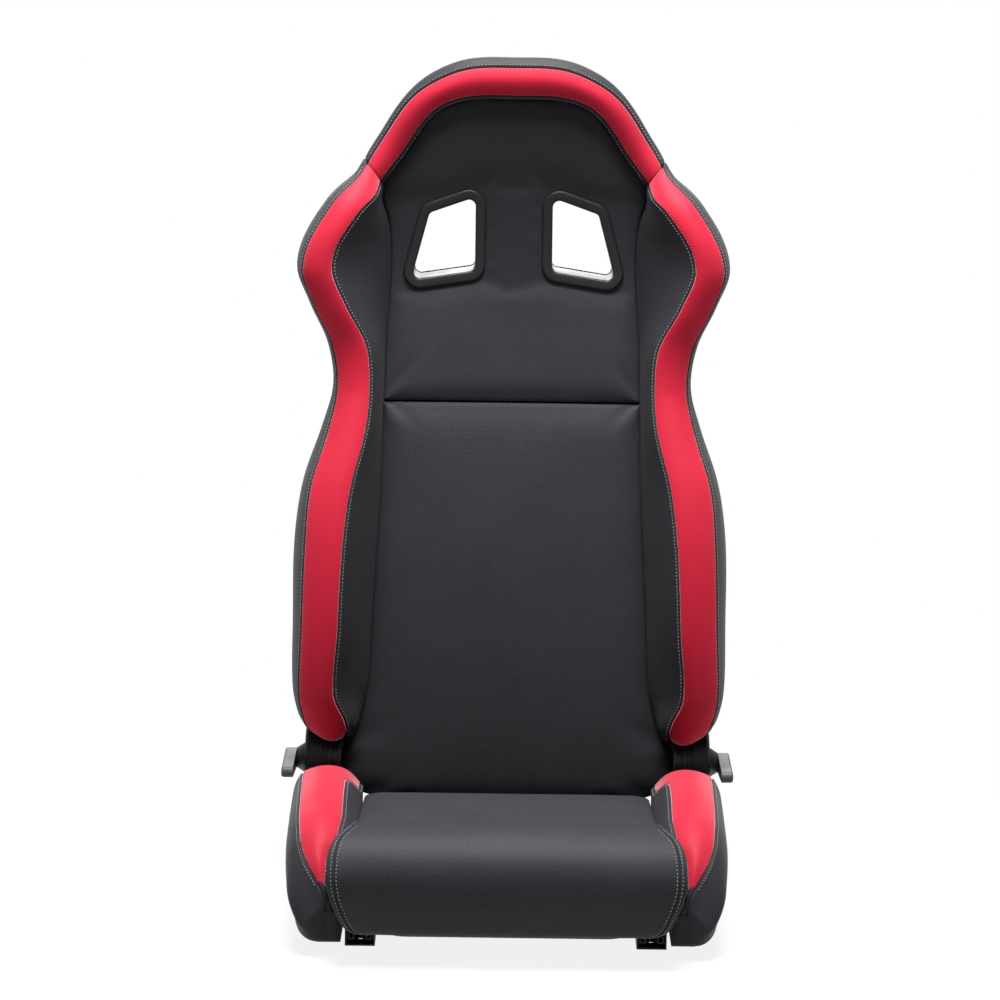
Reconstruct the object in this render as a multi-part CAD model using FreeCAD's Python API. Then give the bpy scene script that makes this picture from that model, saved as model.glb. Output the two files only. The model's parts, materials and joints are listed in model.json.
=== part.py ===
"""Reclining sports car seat on runners: steel frame, recliner with a lever on each side, and foam upholstery.

Millimetres. +Z is up, the seat faces -Y, and X runs across. The origin lies on the floor, on the centre
plane, in the middle of the four holes that bolt the runners down.
"""
import FreeCAD, Part
import math
import os
from FreeCAD import Vector

PARTS = "parts"

# Recliner axis and runner centre lines
PIVOT_Y = 165.0
PIVOT_Z = 130.0
RAIL_X = 165.0

# Runners: a lower rail with turned-in lips, and an upper rail hooked under them
RAIL_LENGTH = 390.0
RAIL_WIDTH = 34.0
RAIL_HEIGHT = 24.0
RAIL_WALL = 2.0
LIP_REACH = 6.0            # how far each lip reaches inward
LIP_DROP = 5.0             # how far its edge turns down
RAIL_SLACK = 0.8           # clearance between the two rails
UPPER_TOP_Z = 30.0
HOOK_RISE = 6.0            # turned-up edge of the upper rail
ROLLER_RADIUS = 2.5
ROLLER_LENGTH = 18.0
ROLLERS_PER_RAIL = 3
ROLLER_PITCH = 110.0
CAGE_THICK = 1.2
CAGE_BORDER = 5.0
CAGE_EDGE = 2.0            # strip of the cage beside each roller's end
CAGE_SLACK = 0.3
FLOOR_BOLT_RADIUS = 4.25
FLOOR_BOLT_Y = 170.0
NOTCH_COUNT = 13
NOTCH_PITCH = 16.0
NOTCH_WIDTH = 8.0
NOTCH_DEPTH = 4.0

# Cushion frame
CROSS_Y = 120.0            # middle of each pressed cross member, front and rear
CROSS_WIDTH = 46.0
CROSS_HEIGHT = 16.0
CROSS_WALL = 2.5
CROSS_HOLE_X = 60.0
CROSS_HOLE_RADIUS = 12.0
FOOT_HALF_X = 12.0         # plate that stands on the upper rail under each end of a cross member
FOOT_HALF_Y = 14.0
BOSS_RADIUS = 9.0
BAR_ROOM = 4.0             # clearance over the release bar
TUBE_RADIUS = 11.0
TUBE_WALL = 2.0
TUBE_BEND = 45.0
WELD_FLAT = 1.0            # how deep a plate beds into the side of a tube
FRAME_FRONT_Y = -150.0
FRAME_REAR_Y = 150.0
REAR_TUBE_Y = 102.0
SIDE_TOP_Z = 75.0          # top edge of the side member ahead of the recliner
SIDE_FRONT_Y = -158.0
SIDE_REAR_Y = 196.0
SIDE_ROUNDS = (8.0, 12.0, 30.0, 0.0, 0.0, 12.0)   # corner radii of the side member, from its front foot
FLANGE_REACH = 22.0
LIGHTENING_RADIUS = 7.0
REAR_HOLE_Y = 153.0        # larger hole below the recliner
REAR_HOLE_Z = 76.0
LIGHTENING_YS = (-75.0, -45.0, -15.0, 15.0, 45.0)

# Flat zigzag springs
WIRE = 3.0
SPRING_BEND = 7.0          # middle radius of each bend
SPRING_SPREAD = 20.0       # half width, to the middle of the wire
SEAT_SPRING_XS = (-132.0, -44.0, 44.0, 132.0)
BACK_SPRING_ZS = (260.0, 350.0, 440.0)
BACK_SPRING_SET = 1.0      # how far they lie behind the middle of the hoop

# Recliner stack, outward from the leg of the backrest hoop
HOOP_X = 193.0
HOOP_RADIUS = 10.0
HOOP_WALL = 1.5
HOOP_GAP = 3.5             # from the back of the foam to the hoop
HOOP_BEND = 70.0
# Corners of the hoop's tube from its foot to its top: X, Z, and how far it stands behind its usual depth
HOOP_ROUTE = (
    (HOOP_X, 168.0, 0.0), (HOOP_X, 400.0, 0.0), (HOOP_X, 560.0, 2.0), (HOOP_X, 700.0, 3.0),
    (HOOP_X - 6.0, 790.0, 0.0), (128.0, 876.0, 0.0),
)
PLATE_THICK = 4.0
DISC_THICK = 14.0
DISC_GAP = 0.3
DISC_RADIUS = 36.0
DISC_RIM = 3.0
HEAD_RADIUS = 42.0         # round head of each recliner plate
ARM_TOP_Z = 236.0
ARM_GAP = 3.0              # from the back of the foam to the plate's arm
ARM_DEPTH = 26.0           # from the back of the foam to the arm's rear edge
ARM_DROP = 4.0             # the arm's front corner lies this far below the bolster's rear part
ARM_ROOT = (10.0, 34.0)    # where the arm's front and rear edges leave the head, from the recliner axis
ARM_HEEL = (41.0, -8.0)
COVER_DEPTH = 22.0
COVER_WALL = 2.5
COVER_HEAD_RADIUS = 46.0
COVER_FRONT_Y = 86.0
COVER_REAR_Y = 208.0
COVER_BOTTOM_Z = 54.0
COVER_FRONT_Z = 108.0
COVER_CORNER = 14.0
COVER_FILLET = 5.0
COVER_SCREW_INSET = 16.0
SHAFT_RADIUS = 5.0
SHAFT_CLEAR = 0.3
COIL_TURNS = 4
COIL_STRIP = 2.0
COIL_WIDTH = 10.0
COIL_INNER = 11.0
COIL_PITCH = 4.5
COIL_GAP = 1.0             # from the side member to the coil
BACK_TUBE_RADIUS = 9.0
BACK_TUBE_Y = 199.0
BACK_TUBE_Z = 143.0
UPPER_TUBE_Z = 640.0
UPPER_TUBE_RADIUS = 7.0
UPPER_TUBE_BACK = 2.0      # how far its middle lies behind the hoop's

# Levers
HUB_RADIUS = 19.0
HUB_LENGTH = 12.0
LEVER_WIDTH = 14.0
LEVER_REACH = 80.0
LEVER_RISE = 1.0           # degrees that the lever rises towards the front
LEVER_REAR_RADIUS = 12.0
LEVER_TIP_RADIUS = 6.5
LEVER_EDGE = 3.0

# Runner release bar, which hangs under the front of the cushion
BAR_RADIUS = 4.5
BAR_X = 138.0
BAR_PIVOT_Y = -20.0
BAR_PIVOT_Z = 19.0
BAR_FRONT_Y = -205.0
BAR_BEND = 25.0
BAR_EYE_RADIUS = 8.0
BAR_PIN_RADIUS = 4.0
BAR_PIN_CLEAR = 0.2
BRACKET_WALL = 3.0
BRACKET_LENGTH = 26.0
COMB_Y = -70.0
COMB_TEETH = 3
COMB_THICK = 3.0
COMB_GAP = 3.0             # from the rail's top to the comb
TOOTH_GAP = 0.3            # from the rail's top to the comb's teeth

# Upholstery
FOAM_GAP = 1.0             # clearance between neighbouring foam pads
PAD_INSET = 2.5            # clearance between the middle pads and the bolsters round them
CUSHION_HALF = 172.0
CUSHION_BASE_Z = 63.5
CUSHION_REAR_Y = 88.0
CUSHION_REAR_Z = 106.0
CUSHION_FRONT_Z = 134.0
CUSHION_ROUNDS = (0.0, 0.0, 8.0, 4.0, 0.0, 0.0, 0.0)   # corner radii of the cushion pad, from its rear foot
REAR_CUT = (10.0, 12.0)    # slanted lower corner at its rear, in Y and Z
STEP_CLEAR = 3.0           # from the front tube to the step in its underside
STEP_SLOPE = 6.0
ROLL_REAR_Y = -163.0
ROLL_REACH = 160.0         # length of the block that the roll's outline is cut through
SIDE_CLEAR = 2.0           # from the side member to the foam skirt outside it
BOLSTER_BASE_Z = 80.0
SKIRT_BOTTOM_Z = 13.0
NOSE_IN_X = 185.0          # ahead of the side member the skirt turns inwards as far as this, under the roll
NOSE_REAR_Y = -161.0
SKIRT_TAPER = 20.0         # how far the skirt's lower edge is drawn in from its side
SKIRT_TURN = 0.42          # where the taper starts, as a share of the skirt's height
PANEL_SEAM_Z = 558.0
PAD_BOTTOM_Z = 84.0
LOW_PAD_THICK = 15.0       # lower end of the backrest pad, ahead of the lever shaft
LOW_PAD_TOP_Z = 148.0
LOW_PAD_RAMP = 30.0        # the slope above the shaft ends this far behind the foam and this much higher
LOW_PAD_RISE = 50.0
BACK_SKIN = 5.0
BACK_TAIL_HALF = 176.0
BACK_TAIL_Z = 96.0
BACK_FOOT_Z = 182.0
FOOT_DRAW = 4.0            # how far the cover is drawn in at that height
ARM_CLEAR = 4.0            # room beside the recliner plates where they pass the cover
SHAFT_ROOM = 1.0
EDGE_TUCK = 5.0            # how far the bolster's back edge is drawn in from its side

# Belt slots: corners of the right-hand one in X and Z
SLOT_CORNERS = ((48.0, 716.0), (48.0, 806.0), (105.0, 786.0), (127.0, 704.0))
SLOT_ROUND = 8.0
SLEEVE_WALL = 2.5
BEZEL_WIDTH = 13.0
BEZEL_PROUD = 5.0
TRIM_WIDTH = 10.0
TRIM_THICK = 3.0

# Side profile of the backrest: height, and the depth of the sitting surface there
BACK_PROFILE = (
    (80.0, 126.0), (180.0, 150.0), (280.0, 176.0), (400.0, 212.0), (540.0, 262.0), (620.0, 292.0),
    (690.0, 317.0), (760.0, 329.0), (830.0, 333.0), (900.0, 331.0), (985.0, 325.0),
)
# Height, depth of the foam and depth of the whole backrest
BACK_DEPTHS = (
    (80.0, 60.0, 92.0), (560.0, 60.0, 92.0), (700.0, 44.0, 76.0), (800.0, 36.0, 68.0), (990.0, 36.0, 66.0),
)

# Bolster of the backrest, station by station from its lower end to the crown of the head. Each: valley
# seam X and Z, outward angle, then from the valley the distances to the inner seam of the coloured band,
# to its outer seam and to the outer edge, and how far the band stands in front of the centre.
WING = (
    (186.0, 164.0, 0.0, 16.0, 42.0, 51.0, 28.0),
    (182.0, 177.0, 0.0, 12.0, 58.0, 67.0, 44.0),
    (178.0, 192.0, 0.0, 18.0, 68.0, 77.0, 56.0),
    (171.0, 225.0, 0.0, 38.0, 81.0, 91.0, 72.0),
    (168.0, 300.0, 0.0, 37.0, 82.0, 95.0, 86.0),
    (163.0, 395.0, 0.0, 38.0, 85.0, 100.0, 88.0),
    (160.0, 465.0, 0.0, 33.0, 83.0, 94.0, 80.0),
    (159.0, 530.0, 0.0, 18.0, 65.0, 73.0, 64.0),
    (158.0, 580.0, 0.0, 15.0, 56.0, 62.0, 55.0),
    (157.0, 630.0, 0.0, 21.0, 64.0, 71.0, 60.0),
    (154.0, 680.0, 0.0, 50.0, 90.0, 97.0, 80.0),
    (152.0, 728.0, 0.0, 69.0, 106.0, 115.0, 88.0),
    (155.0, 772.0, 20.0, 40.0, 75.0, 83.0, 70.0),
    (164.0, 803.0, 40.0, 9.0, 41.0, 46.0, 42.0),
)
ARCH = (
    (163.0, 822.0, 38.0, 4.0, 31.0, 36.0, 20.0),
    (136.0, 858.0, 34.0, 4.0, 34.0, 40.0, 14.0),
    (109.0, 898.0, 50.0, 4.0, 35.0, 42.0, 13.0),
    (87.0, 917.0, 66.0, 4.0, 34.0, 44.0, 13.0),
    (52.0, 927.0, 82.0, 4.0, 38.0, 49.0, 13.0),
    (0.0, 928.0, 90.0, 4.0, 39.0, 50.0, 13.0),
)
CREST_SWELL = 3.0          # how far the middle of the band stands in front of its inner seam
CREST_FALL = 6.0           # how far its outer seam lies behind the inner one
SIDE_DEPTH = 0.4           # depth of the bolster's widest place as a share of the foam's
SIDE_LEAD = 0.45           # and how much of the band's own lead it follows
# Room over the recliner that the bolster's lower end keeps clear: outside this place, behind this depth and
# below this height
RECLINER_ROOM_X = 199.0
RECLINER_ROOM_Y = 126.0
RECLINER_ROOM_Z = 178.0
# Lower outline of the backrest pad, below the bolster's end
PAD_FOOT = ((197.0, 150.0), (196.0, 122.0), (181.0, 98.0), (135.0, 87.0))

# Cushion bolster, front to rear: Y, height of the valley, band inner and outer seams in X, top, outer edge
CUSHION_WING = (
    (-236.0, 50.0, 206.0, 216.0, 66.0, 232.0),
    (-212.0, 80.0, 203.0, 224.0, 98.0, 246.0),
    (-180.0, 106.0, 201.0, 233.0, 122.0, 250.0),
    (-130.0, 122.0, 199.0, 239.0, 141.0, 252.0),
    (-70.0, 122.0, 197.0, 241.0, 149.0, 253.0),
    (0.0, 119.0, 194.0, 241.0, 150.0, 253.0),
    (52.0, 119.0, 190.0, 240.0, 145.0, 252.0),
    (80.0, 118.0, 186.0, 236.0, 133.0, 248.0),
)
BOLSTER_INNER_X = 174.0
BAND_IN_DROP = 6.0         # how far the seams of its coloured band lie below its top
BAND_OUT_DROP = 8.0
SIDE_DRAW = 3.0            # how far the side is drawn in where the skirt starts to taper
BAND_HEIGHT = 36.0         # from the top of the cushion bolster to the widest place on its side

# Front roll: section in Y and Z, and its outline seen from the front in X and Z
ROLL_SECTION = (
    (-163.0, 64.0), (-163.0, 136.0), (-184.0, 143.0), (-206.0, 144.0), (-246.0, 131.0), (-270.0, 106.0),
    (-275.0, 80.0), (-268.0, 48.0), (-252.0, 30.0), (-236.0, 32.0), (-200.0, 54.0),
)
ROLL_OUTLINE = (
    (150.0, 28.0), (172.0, 34.0), (190.0, 52.0), (200.0, 80.0), (204.0, 108.0), (201.0, 130.0),
    (190.0, 145.0), (176.0, 153.0),
)
ROLL_MIDDLE = (-215.0, 88.0)

# Fasteners
BOLT_RADIUS = 4.0
HEX_HEIGHT = 5.0
HEX_ACROSS_CORNERS = 15.0
SCREW_RADIUS = 2.0
SCREW_HEAD_RADIUS = 4.5
SCREW_HEAD_HEIGHT = 2.4

# Reach of the blocks that the backrest's pieces are cut from
SLAB_LOW_Z = 80.0
SLAB_HIGH_Z = 985.0
SLAB_HALF = 290.0
THROUGH_FRONT_Y = 20.0
THROUGH_LENGTH = 480.0

# Places that follow from the sizes above
PLATE_IN_X = HOOP_X + HOOP_RADIUS - WELD_FLAT
DISC_IN_X = PLATE_IN_X + PLATE_THICK
SIDE_IN_X = DISC_IN_X + DISC_THICK
SIDE_OUT_X = SIDE_IN_X + PLATE_THICK
COVER_OUT_X = SIDE_OUT_X + COVER_DEPTH
LEVER_IN_X = COVER_OUT_X + HUB_LENGTH
CROSS_TOP_Z = UPPER_TOP_Z + CROSS_HEIGHT
FRAME_X = SIDE_IN_X + WELD_FLAT - TUBE_RADIUS
FRAME_Z = CROSS_TOP_Z + PLATE_THICK + TUBE_RADIUS
SKIRT_IN_X = SIDE_OUT_X + SIDE_CLEAR
ROLLER_Z = RAIL_WALL + ROLLER_RADIUS
UPPER_FOOT_Z = RAIL_WALL + 2 * ROLLER_RADIUS


def save(name, shape):
    shape.exportStep(os.path.join(PARTS, name + ".step"))


def mirrored(shape):
    return shape.mirror(Vector(0, 0, 0), Vector(1, 0, 0))


def save_pair(base, shape):
    """Writes a right-hand piece and its mirror image."""
    save(base + "_right", shape)
    save(base + "_left", mirrored(shape))


def group(shapes):
    return Part.makeCompound(list(shapes))


def box(x0, x1, y0, y1, z0, z1):
    return Part.makeBox(x1 - x0, y1 - y0, z1 - z0, Vector(x0, y0, z0))


def rod_x(radius, x0, x1, y, z):
    return Part.makeCylinder(radius, x1 - x0, Vector(x0, y, z), Vector(1, 0, 0))


def rod_z(radius, z0, z1, x, y):
    return Part.makeCylinder(radius, z1 - z0, Vector(x, y, z0))


def polyline(points):
    return Part.makePolygon(list(points) + [points[0]])


def spline(points):
    curve = Part.BSplineCurve()
    curve.interpolate(points)
    return curve.toShape()


def rounded(points, radii):
    """Closed wire through corner points, each rounded by its own radius. A zero keeps the corner."""
    edges = []
    count = len(points)
    ends = []
    for index, radius in enumerate(radii):
        corner = points[index]
        back = (points[index - 1] - corner).normalize()
        ahead = (points[(index + 1) % count] - corner).normalize()
        half = back.getAngle(ahead) / 2
        reach = radius / math.tan(half) if radius else 0.0
        depth = radius / math.sin(half) - radius
        middle = corner + (back + ahead).normalize() * depth
        ends.append((corner + back * reach, middle, corner + ahead * reach))
    for index, (first, middle, last) in enumerate(ends):
        if radii[index]:
            edges.append(Part.Arc(first, middle, last).toShape())
        edges.append(Part.LineSegment(last, ends[(index + 1) % count][0]).toShape())
    return Part.Wire(edges)


def extruded(wire, direction):
    return Part.Face(wire).extrude(direction)


def bar(points, bend, radius):
    """A round bar: straight runs joined by true round bends."""
    pieces = []
    start = points[0]
    for before, corner, after in zip(points, points[1:], points[2:]):
        back = (before - corner).normalize()
        ahead = (after - corner).normalize()
        half = back.getAngle(ahead) / 2
        first = corner + back * (bend / math.tan(half))
        centre = corner + (back + ahead).normalize() * (bend / math.sin(half))
        disc = Part.Face(Part.Wire([Part.Circle(first, back, radius).toShape()]))
        pieces.append(Part.makeCylinder(radius, (first - start).Length, start, first - start))
        pieces.append(disc.revolve(centre, ahead.cross(back), math.degrees(math.pi - 2 * half)))
        start = corner + ahead * (bend / math.tan(half))
    pieces.append(Part.makeCylinder(radius, (points[-1] - start).Length, start, points[-1] - start))
    return pieces[0].fuse(pieces[1:])


def hex_bolt(x, y, seat_z, length, up):
    """Hexagon-head bolt standing on or hanging from a face at seat_z. Its shank goes the other way."""
    corners = [math.radians(60 * step) for step in range(6)]
    reach = HEX_ACROSS_CORNERS / 2
    ring = polyline([Vector(x + reach * math.cos(a), y + reach * math.sin(a), seat_z) for a in corners])
    sign = 1 if up else -1
    head = extruded(ring, Vector(0, 0, sign * HEX_HEIGHT))
    low = seat_z - length if up else seat_z
    return head.fuse(rod_z(BOLT_RADIUS, low, low + length, x, y))


def interpolate(table, where, column):
    """Smooth value of a table's column at a place: a cubic through neighbouring rows."""
    index = max(i for i, row in enumerate(table[:-1]) if row[0] <= where or i == 0)
    low = table[index]
    high = table[index + 1]
    before = table[max(index - 1, 0)]
    after = table[min(index + 2, len(table) - 1)]
    span = high[0] - low[0]
    share = (where - low[0]) / span
    slope_low = (high[column] - before[column]) / (high[0] - before[0]) * span
    slope_high = (after[column] - low[column]) / (after[0] - low[0]) * span
    square = share * share
    cube = square * share
    start = (2 * cube - 3 * square + 1) * low[column] + (cube - 2 * square + share) * slope_low
    return start + (3 * square - 2 * cube) * high[column] + (cube - square) * slope_high


def front_y(z):
    """Depth of the backrest's sitting surface at a height."""
    return interpolate(BACK_PROFILE, z, 1)


def foam_y(z):
    return front_y(z) + interpolate(BACK_DEPTHS, z, 1)


def rear_y(z):
    return front_y(z) + interpolate(BACK_DEPTHS, z, 2)


def hoop_y(z):
    return foam_y(z) + HOOP_GAP + HOOP_RADIUS


def heights(low, high):
    inner = [row[0] for row in BACK_PROFILE if low + 12 < row[0] < high - 12]
    return [low] + inner + [high]


def slab(near, far, low=SLAB_LOW_Z, high=SLAB_HIGH_Z):
    """Solid between two depth curves of the backrest, straight across the seat."""
    half_width = SLAB_HALF
    front = [Vector(-half_width, near(z), z) for z in heights(low, high)]
    back = [Vector(-half_width, far(z), z) for z in heights(low, high)]
    wire = Part.Wire([
        spline(front),
        Part.LineSegment(front[-1], back[-1]).toShape(),
        spline(back),
        Part.LineSegment(back[0], front[0]).toShape(),
    ])
    return extruded(wire, Vector(2 * half_width, 0, 0))


def main():
    os.makedirs(PARTS, exist_ok=True)
    build_runners()
    build_release()
    frame_tube = build_cushion_frame()
    build_recliners()
    build_levers()
    build_cushion()
    hoop = build_back_frame()
    build_backrest_upholstery()
    build_springs(frame_tube, hoop)


def rail_profile(points, start_y, length):
    """Half section in X from the rail's centre line and Z, mirrored and run along Y."""
    ring = [Vector(RAIL_X + x, start_y, z) for x, z in points]
    ring += [Vector(RAIL_X - x, start_y, z) for x, z in reversed(points)]
    return extruded(polyline(ring), Vector(0, length, 0))


def build_runners():
    half = RAIL_WIDTH / 2
    lip = half - RAIL_WALL - LIP_REACH
    under = RAIL_HEIGHT - RAIL_WALL
    front = -RAIL_LENGTH / 2
    lower = rail_profile([
        (half, 0), (half, RAIL_HEIGHT), (lip, RAIL_HEIGHT), (lip, under - LIP_DROP),
        (lip + RAIL_WALL, under - LIP_DROP), (lip + RAIL_WALL, under), (half - RAIL_WALL, under),
        (half - RAIL_WALL, RAIL_WALL),
    ], front, RAIL_LENGTH)
    for y in (-FLOOR_BOLT_Y, FLOOR_BOLT_Y):
        lower = lower.cut(rod_z(FLOOR_BOLT_RADIUS, -1, RAIL_WALL + 1, RAIL_X, y))
    for index in range(NOTCH_COUNT):
        y = COMB_Y + (index - NOTCH_COUNT // 2) * NOTCH_PITCH
        edge = RAIL_X - half
        reach = NOTCH_WIDTH / 2
        lower = lower.cut(
            box(edge - 1, edge + NOTCH_DEPTH, y - reach, y + reach, under - LIP_DROP, RAIL_HEIGHT + 1)
        )
    save_pair("lower_rail", lower)

    web = lip - RAIL_SLACK
    hook_in = lip + RAIL_WALL + RAIL_SLACK
    hook_out = hook_in + RAIL_WALL
    floor = UPPER_FOOT_Z
    hook_top = floor + RAIL_WALL + HOOK_RISE
    upper = rail_profile([
        (web, UPPER_TOP_Z), (web, floor + RAIL_WALL), (hook_in, floor + RAIL_WALL),
        (hook_in, hook_top), (hook_out, hook_top), (hook_out, floor),
        (web - RAIL_WALL, floor), (web - RAIL_WALL, UPPER_TOP_Z - RAIL_WALL),
    ], front, RAIL_LENGTH)
    for y in (-CROSS_Y, CROSS_Y):
        upper = upper.cut(rod_z(BOLT_RADIUS, UPPER_TOP_Z - RAIL_WALL - 1, UPPER_TOP_Z + 1, RAIL_X, y))
    save_pair("upper_rail", upper)

    reach = ROLLER_PITCH * (ROLLERS_PER_RAIL - 1) / 2
    ys = [-reach + ROLLER_PITCH * index for index in range(ROLLERS_PER_RAIL)]
    half_roller = ROLLER_LENGTH / 2
    cage_half = half_roller + CAGE_SLACK + CAGE_EDGE
    cage_end = reach + ROLLER_RADIUS + CAGE_BORDER
    cage_z = ROLLER_Z - CAGE_THICK / 2
    cage = box(RAIL_X - cage_half, RAIL_X + cage_half, -cage_end, cage_end, cage_z, cage_z + CAGE_THICK)
    window = ROLLER_RADIUS + CAGE_SLACK
    side = half_roller + CAGE_SLACK
    for y in ys:
        cage = cage.cut(box(RAIL_X - side, RAIL_X + side, y - window, y + window, 0, UPPER_FOOT_Z))
    save_pair("roller_cage", cage)
    rollers = [rod_x(ROLLER_RADIUS, RAIL_X - half_roller, RAIL_X + half_roller, y, ROLLER_Z) for y in ys]
    save_pair("rollers", group(rollers))


def build_release():
    """Bar with an eye at each end, its two hanging brackets, and the combs that enter the rails' notches."""
    path = [
        Vector(-BAR_X, BAR_PIVOT_Y, BAR_PIVOT_Z), Vector(-BAR_X, BAR_FRONT_Y, BAR_PIVOT_Z),
        Vector(BAR_X, BAR_FRONT_Y, BAR_PIVOT_Z), Vector(BAR_X, BAR_PIVOT_Y, BAR_PIVOT_Z),
    ]
    handle = bar(path, BAR_BEND, BAR_RADIUS)
    pin_in = BAR_X - BAR_RADIUS - 1 - BRACKET_WALL
    for sign in (-1, 1):
        inner = BAR_X - BAR_RADIUS
        eye = rod_x(BAR_EYE_RADIUS, inner, inner + 2 * BAR_RADIUS, BAR_PIVOT_Y, BAR_PIVOT_Z)
        pin = rod_x(BAR_PIN_RADIUS, pin_in - 1, inner, BAR_PIVOT_Y, BAR_PIVOT_Z)
        piece = eye.fuse(pin)
        handle = handle.fuse(piece if sign > 0 else mirrored(piece))
    save("release_bar", handle)

    y0 = BAR_PIVOT_Y - BRACKET_LENGTH / 2
    y1 = BAR_PIVOT_Y + BRACKET_LENGTH / 2
    foot = box(pin_in, RAIL_X, y0, y1, UPPER_TOP_Z, UPPER_TOP_Z + BRACKET_WALL)
    cheek_ring = rounded([
        Vector(pin_in, y0, UPPER_TOP_Z + BRACKET_WALL), Vector(pin_in, y1, UPPER_TOP_Z + BRACKET_WALL),
        Vector(pin_in, y1, BAR_PIVOT_Z - BAR_EYE_RADIUS), Vector(pin_in, y0, BAR_PIVOT_Z - BAR_EYE_RADIUS),
    ], (0, 0, BAR_EYE_RADIUS, BAR_EYE_RADIUS))
    bracket = foot.fuse(extruded(cheek_ring, Vector(BRACKET_WALL, 0, 0)))
    pin_hole = BAR_PIN_RADIUS + BAR_PIN_CLEAR
    bracket = bracket.cut(rod_x(pin_hole, pin_in - 1, pin_in + BRACKET_WALL + 1, BAR_PIVOT_Y, BAR_PIVOT_Z))
    save_pair("release_bracket", bracket.removeSplitter())

    edge = RAIL_X - RAIL_WIDTH / 2
    comb_z = RAIL_HEIGHT + COMB_GAP
    reach = NOTCH_PITCH * (COMB_TEETH - 1) / 2 + NOTCH_WIDTH / 2
    y0 = COMB_Y - reach
    y1 = COMB_Y + reach
    comb = box(BAR_X - BAR_RADIUS, edge + NOTCH_DEPTH - 1, y0, y1, comb_z, comb_z + COMB_THICK)
    comb = comb.fuse(box(BAR_X - BAR_RADIUS, BAR_X + BAR_RADIUS, y0, y1, BAR_PIVOT_Z, comb_z))
    for index in range(COMB_TEETH):
        y = COMB_Y + (index - COMB_TEETH // 2) * NOTCH_PITCH
        tooth = NOTCH_WIDTH / 2 - 1
        tooth_z = RAIL_HEIGHT + TOOTH_GAP
        comb = comb.fuse(box(edge + 1, edge + NOTCH_DEPTH - 1, y - tooth, y + tooth, tooth_z, comb_z))
    comb = comb.cut(handle).removeSplitter()
    save_pair("latch_comb", comb)


def channel(middle_y):
    """Pressed cross member, open below, with turned-down edges cut away over the release bar."""
    low_y = middle_y - CROSS_WIDTH / 2
    high_y = middle_y + CROSS_WIDTH / 2
    outer = box(-SIDE_IN_X, SIDE_IN_X, low_y, high_y, UPPER_TOP_Z, CROSS_TOP_Z)
    upper_edges = [edge for edge in outer.Edges if edge.BoundBox.ZMin > UPPER_TOP_Z + 1]
    long_edges = [edge for edge in upper_edges if edge.BoundBox.XLength > SIDE_IN_X]
    outer = outer.makeFillet(2 * CROSS_WALL, long_edges)
    roof = CROSS_TOP_Z - CROSS_WALL
    low_in = low_y + CROSS_WALL
    member = outer.cut(box(-SIDE_IN_X - 1, SIDE_IN_X + 1, low_in, high_y - CROSS_WALL, UPPER_TOP_Z - 1, roof))
    relief = BAR_RADIUS + BAR_ROOM
    for sign in (-1, 1):
        middle = sign * BAR_X
        member = member.cut(box(
            middle - relief, middle + relief, low_y - 1, high_y + 1, UPPER_TOP_Z - 1, roof - CROSS_WALL,
        ))
        for x, radius in ((SIDE_IN_X - FLANGE_REACH / 2, BOLT_RADIUS), (CROSS_HOLE_X, CROSS_HOLE_RADIUS)):
            member = member.cut(rod_z(radius, UPPER_TOP_Z, CROSS_TOP_Z + 1, sign * x, middle_y))
        x = sign * RAIL_X
        foot = box(
            x - FOOT_HALF_X, x + FOOT_HALF_X, middle_y - FOOT_HALF_Y, middle_y + FOOT_HALF_Y,
            UPPER_TOP_Z, UPPER_TOP_Z + CROSS_WALL,
        )
        member = member.fuse([foot, rod_z(BOSS_RADIUS, UPPER_TOP_Z, roof, x, middle_y)])
        member = member.cut(rod_z(BOLT_RADIUS, UPPER_TOP_Z - 1, CROSS_TOP_Z + 1, x, middle_y))
    return member.removeSplitter()


def side_outline(x):
    """Side member seen from the side: a low rail in front that rises to the recliner's round head."""
    low = CROSS_TOP_Z
    edges_front = [
        Vector(x, SIDE_FRONT_Y, low), Vector(x, SIDE_FRONT_Y, SIDE_TOP_Z),
        Vector(x, CUSHION_REAR_Y, SIDE_TOP_Z), Vector(x, PIVOT_Y - HEAD_RADIUS, PIVOT_Z),
        Vector(x, PIVOT_Y + HEAD_RADIUS, PIVOT_Z),
        Vector(x, SIDE_REAR_Y, low),
    ]
    return rounded(edges_front, SIDE_ROUNDS)


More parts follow.
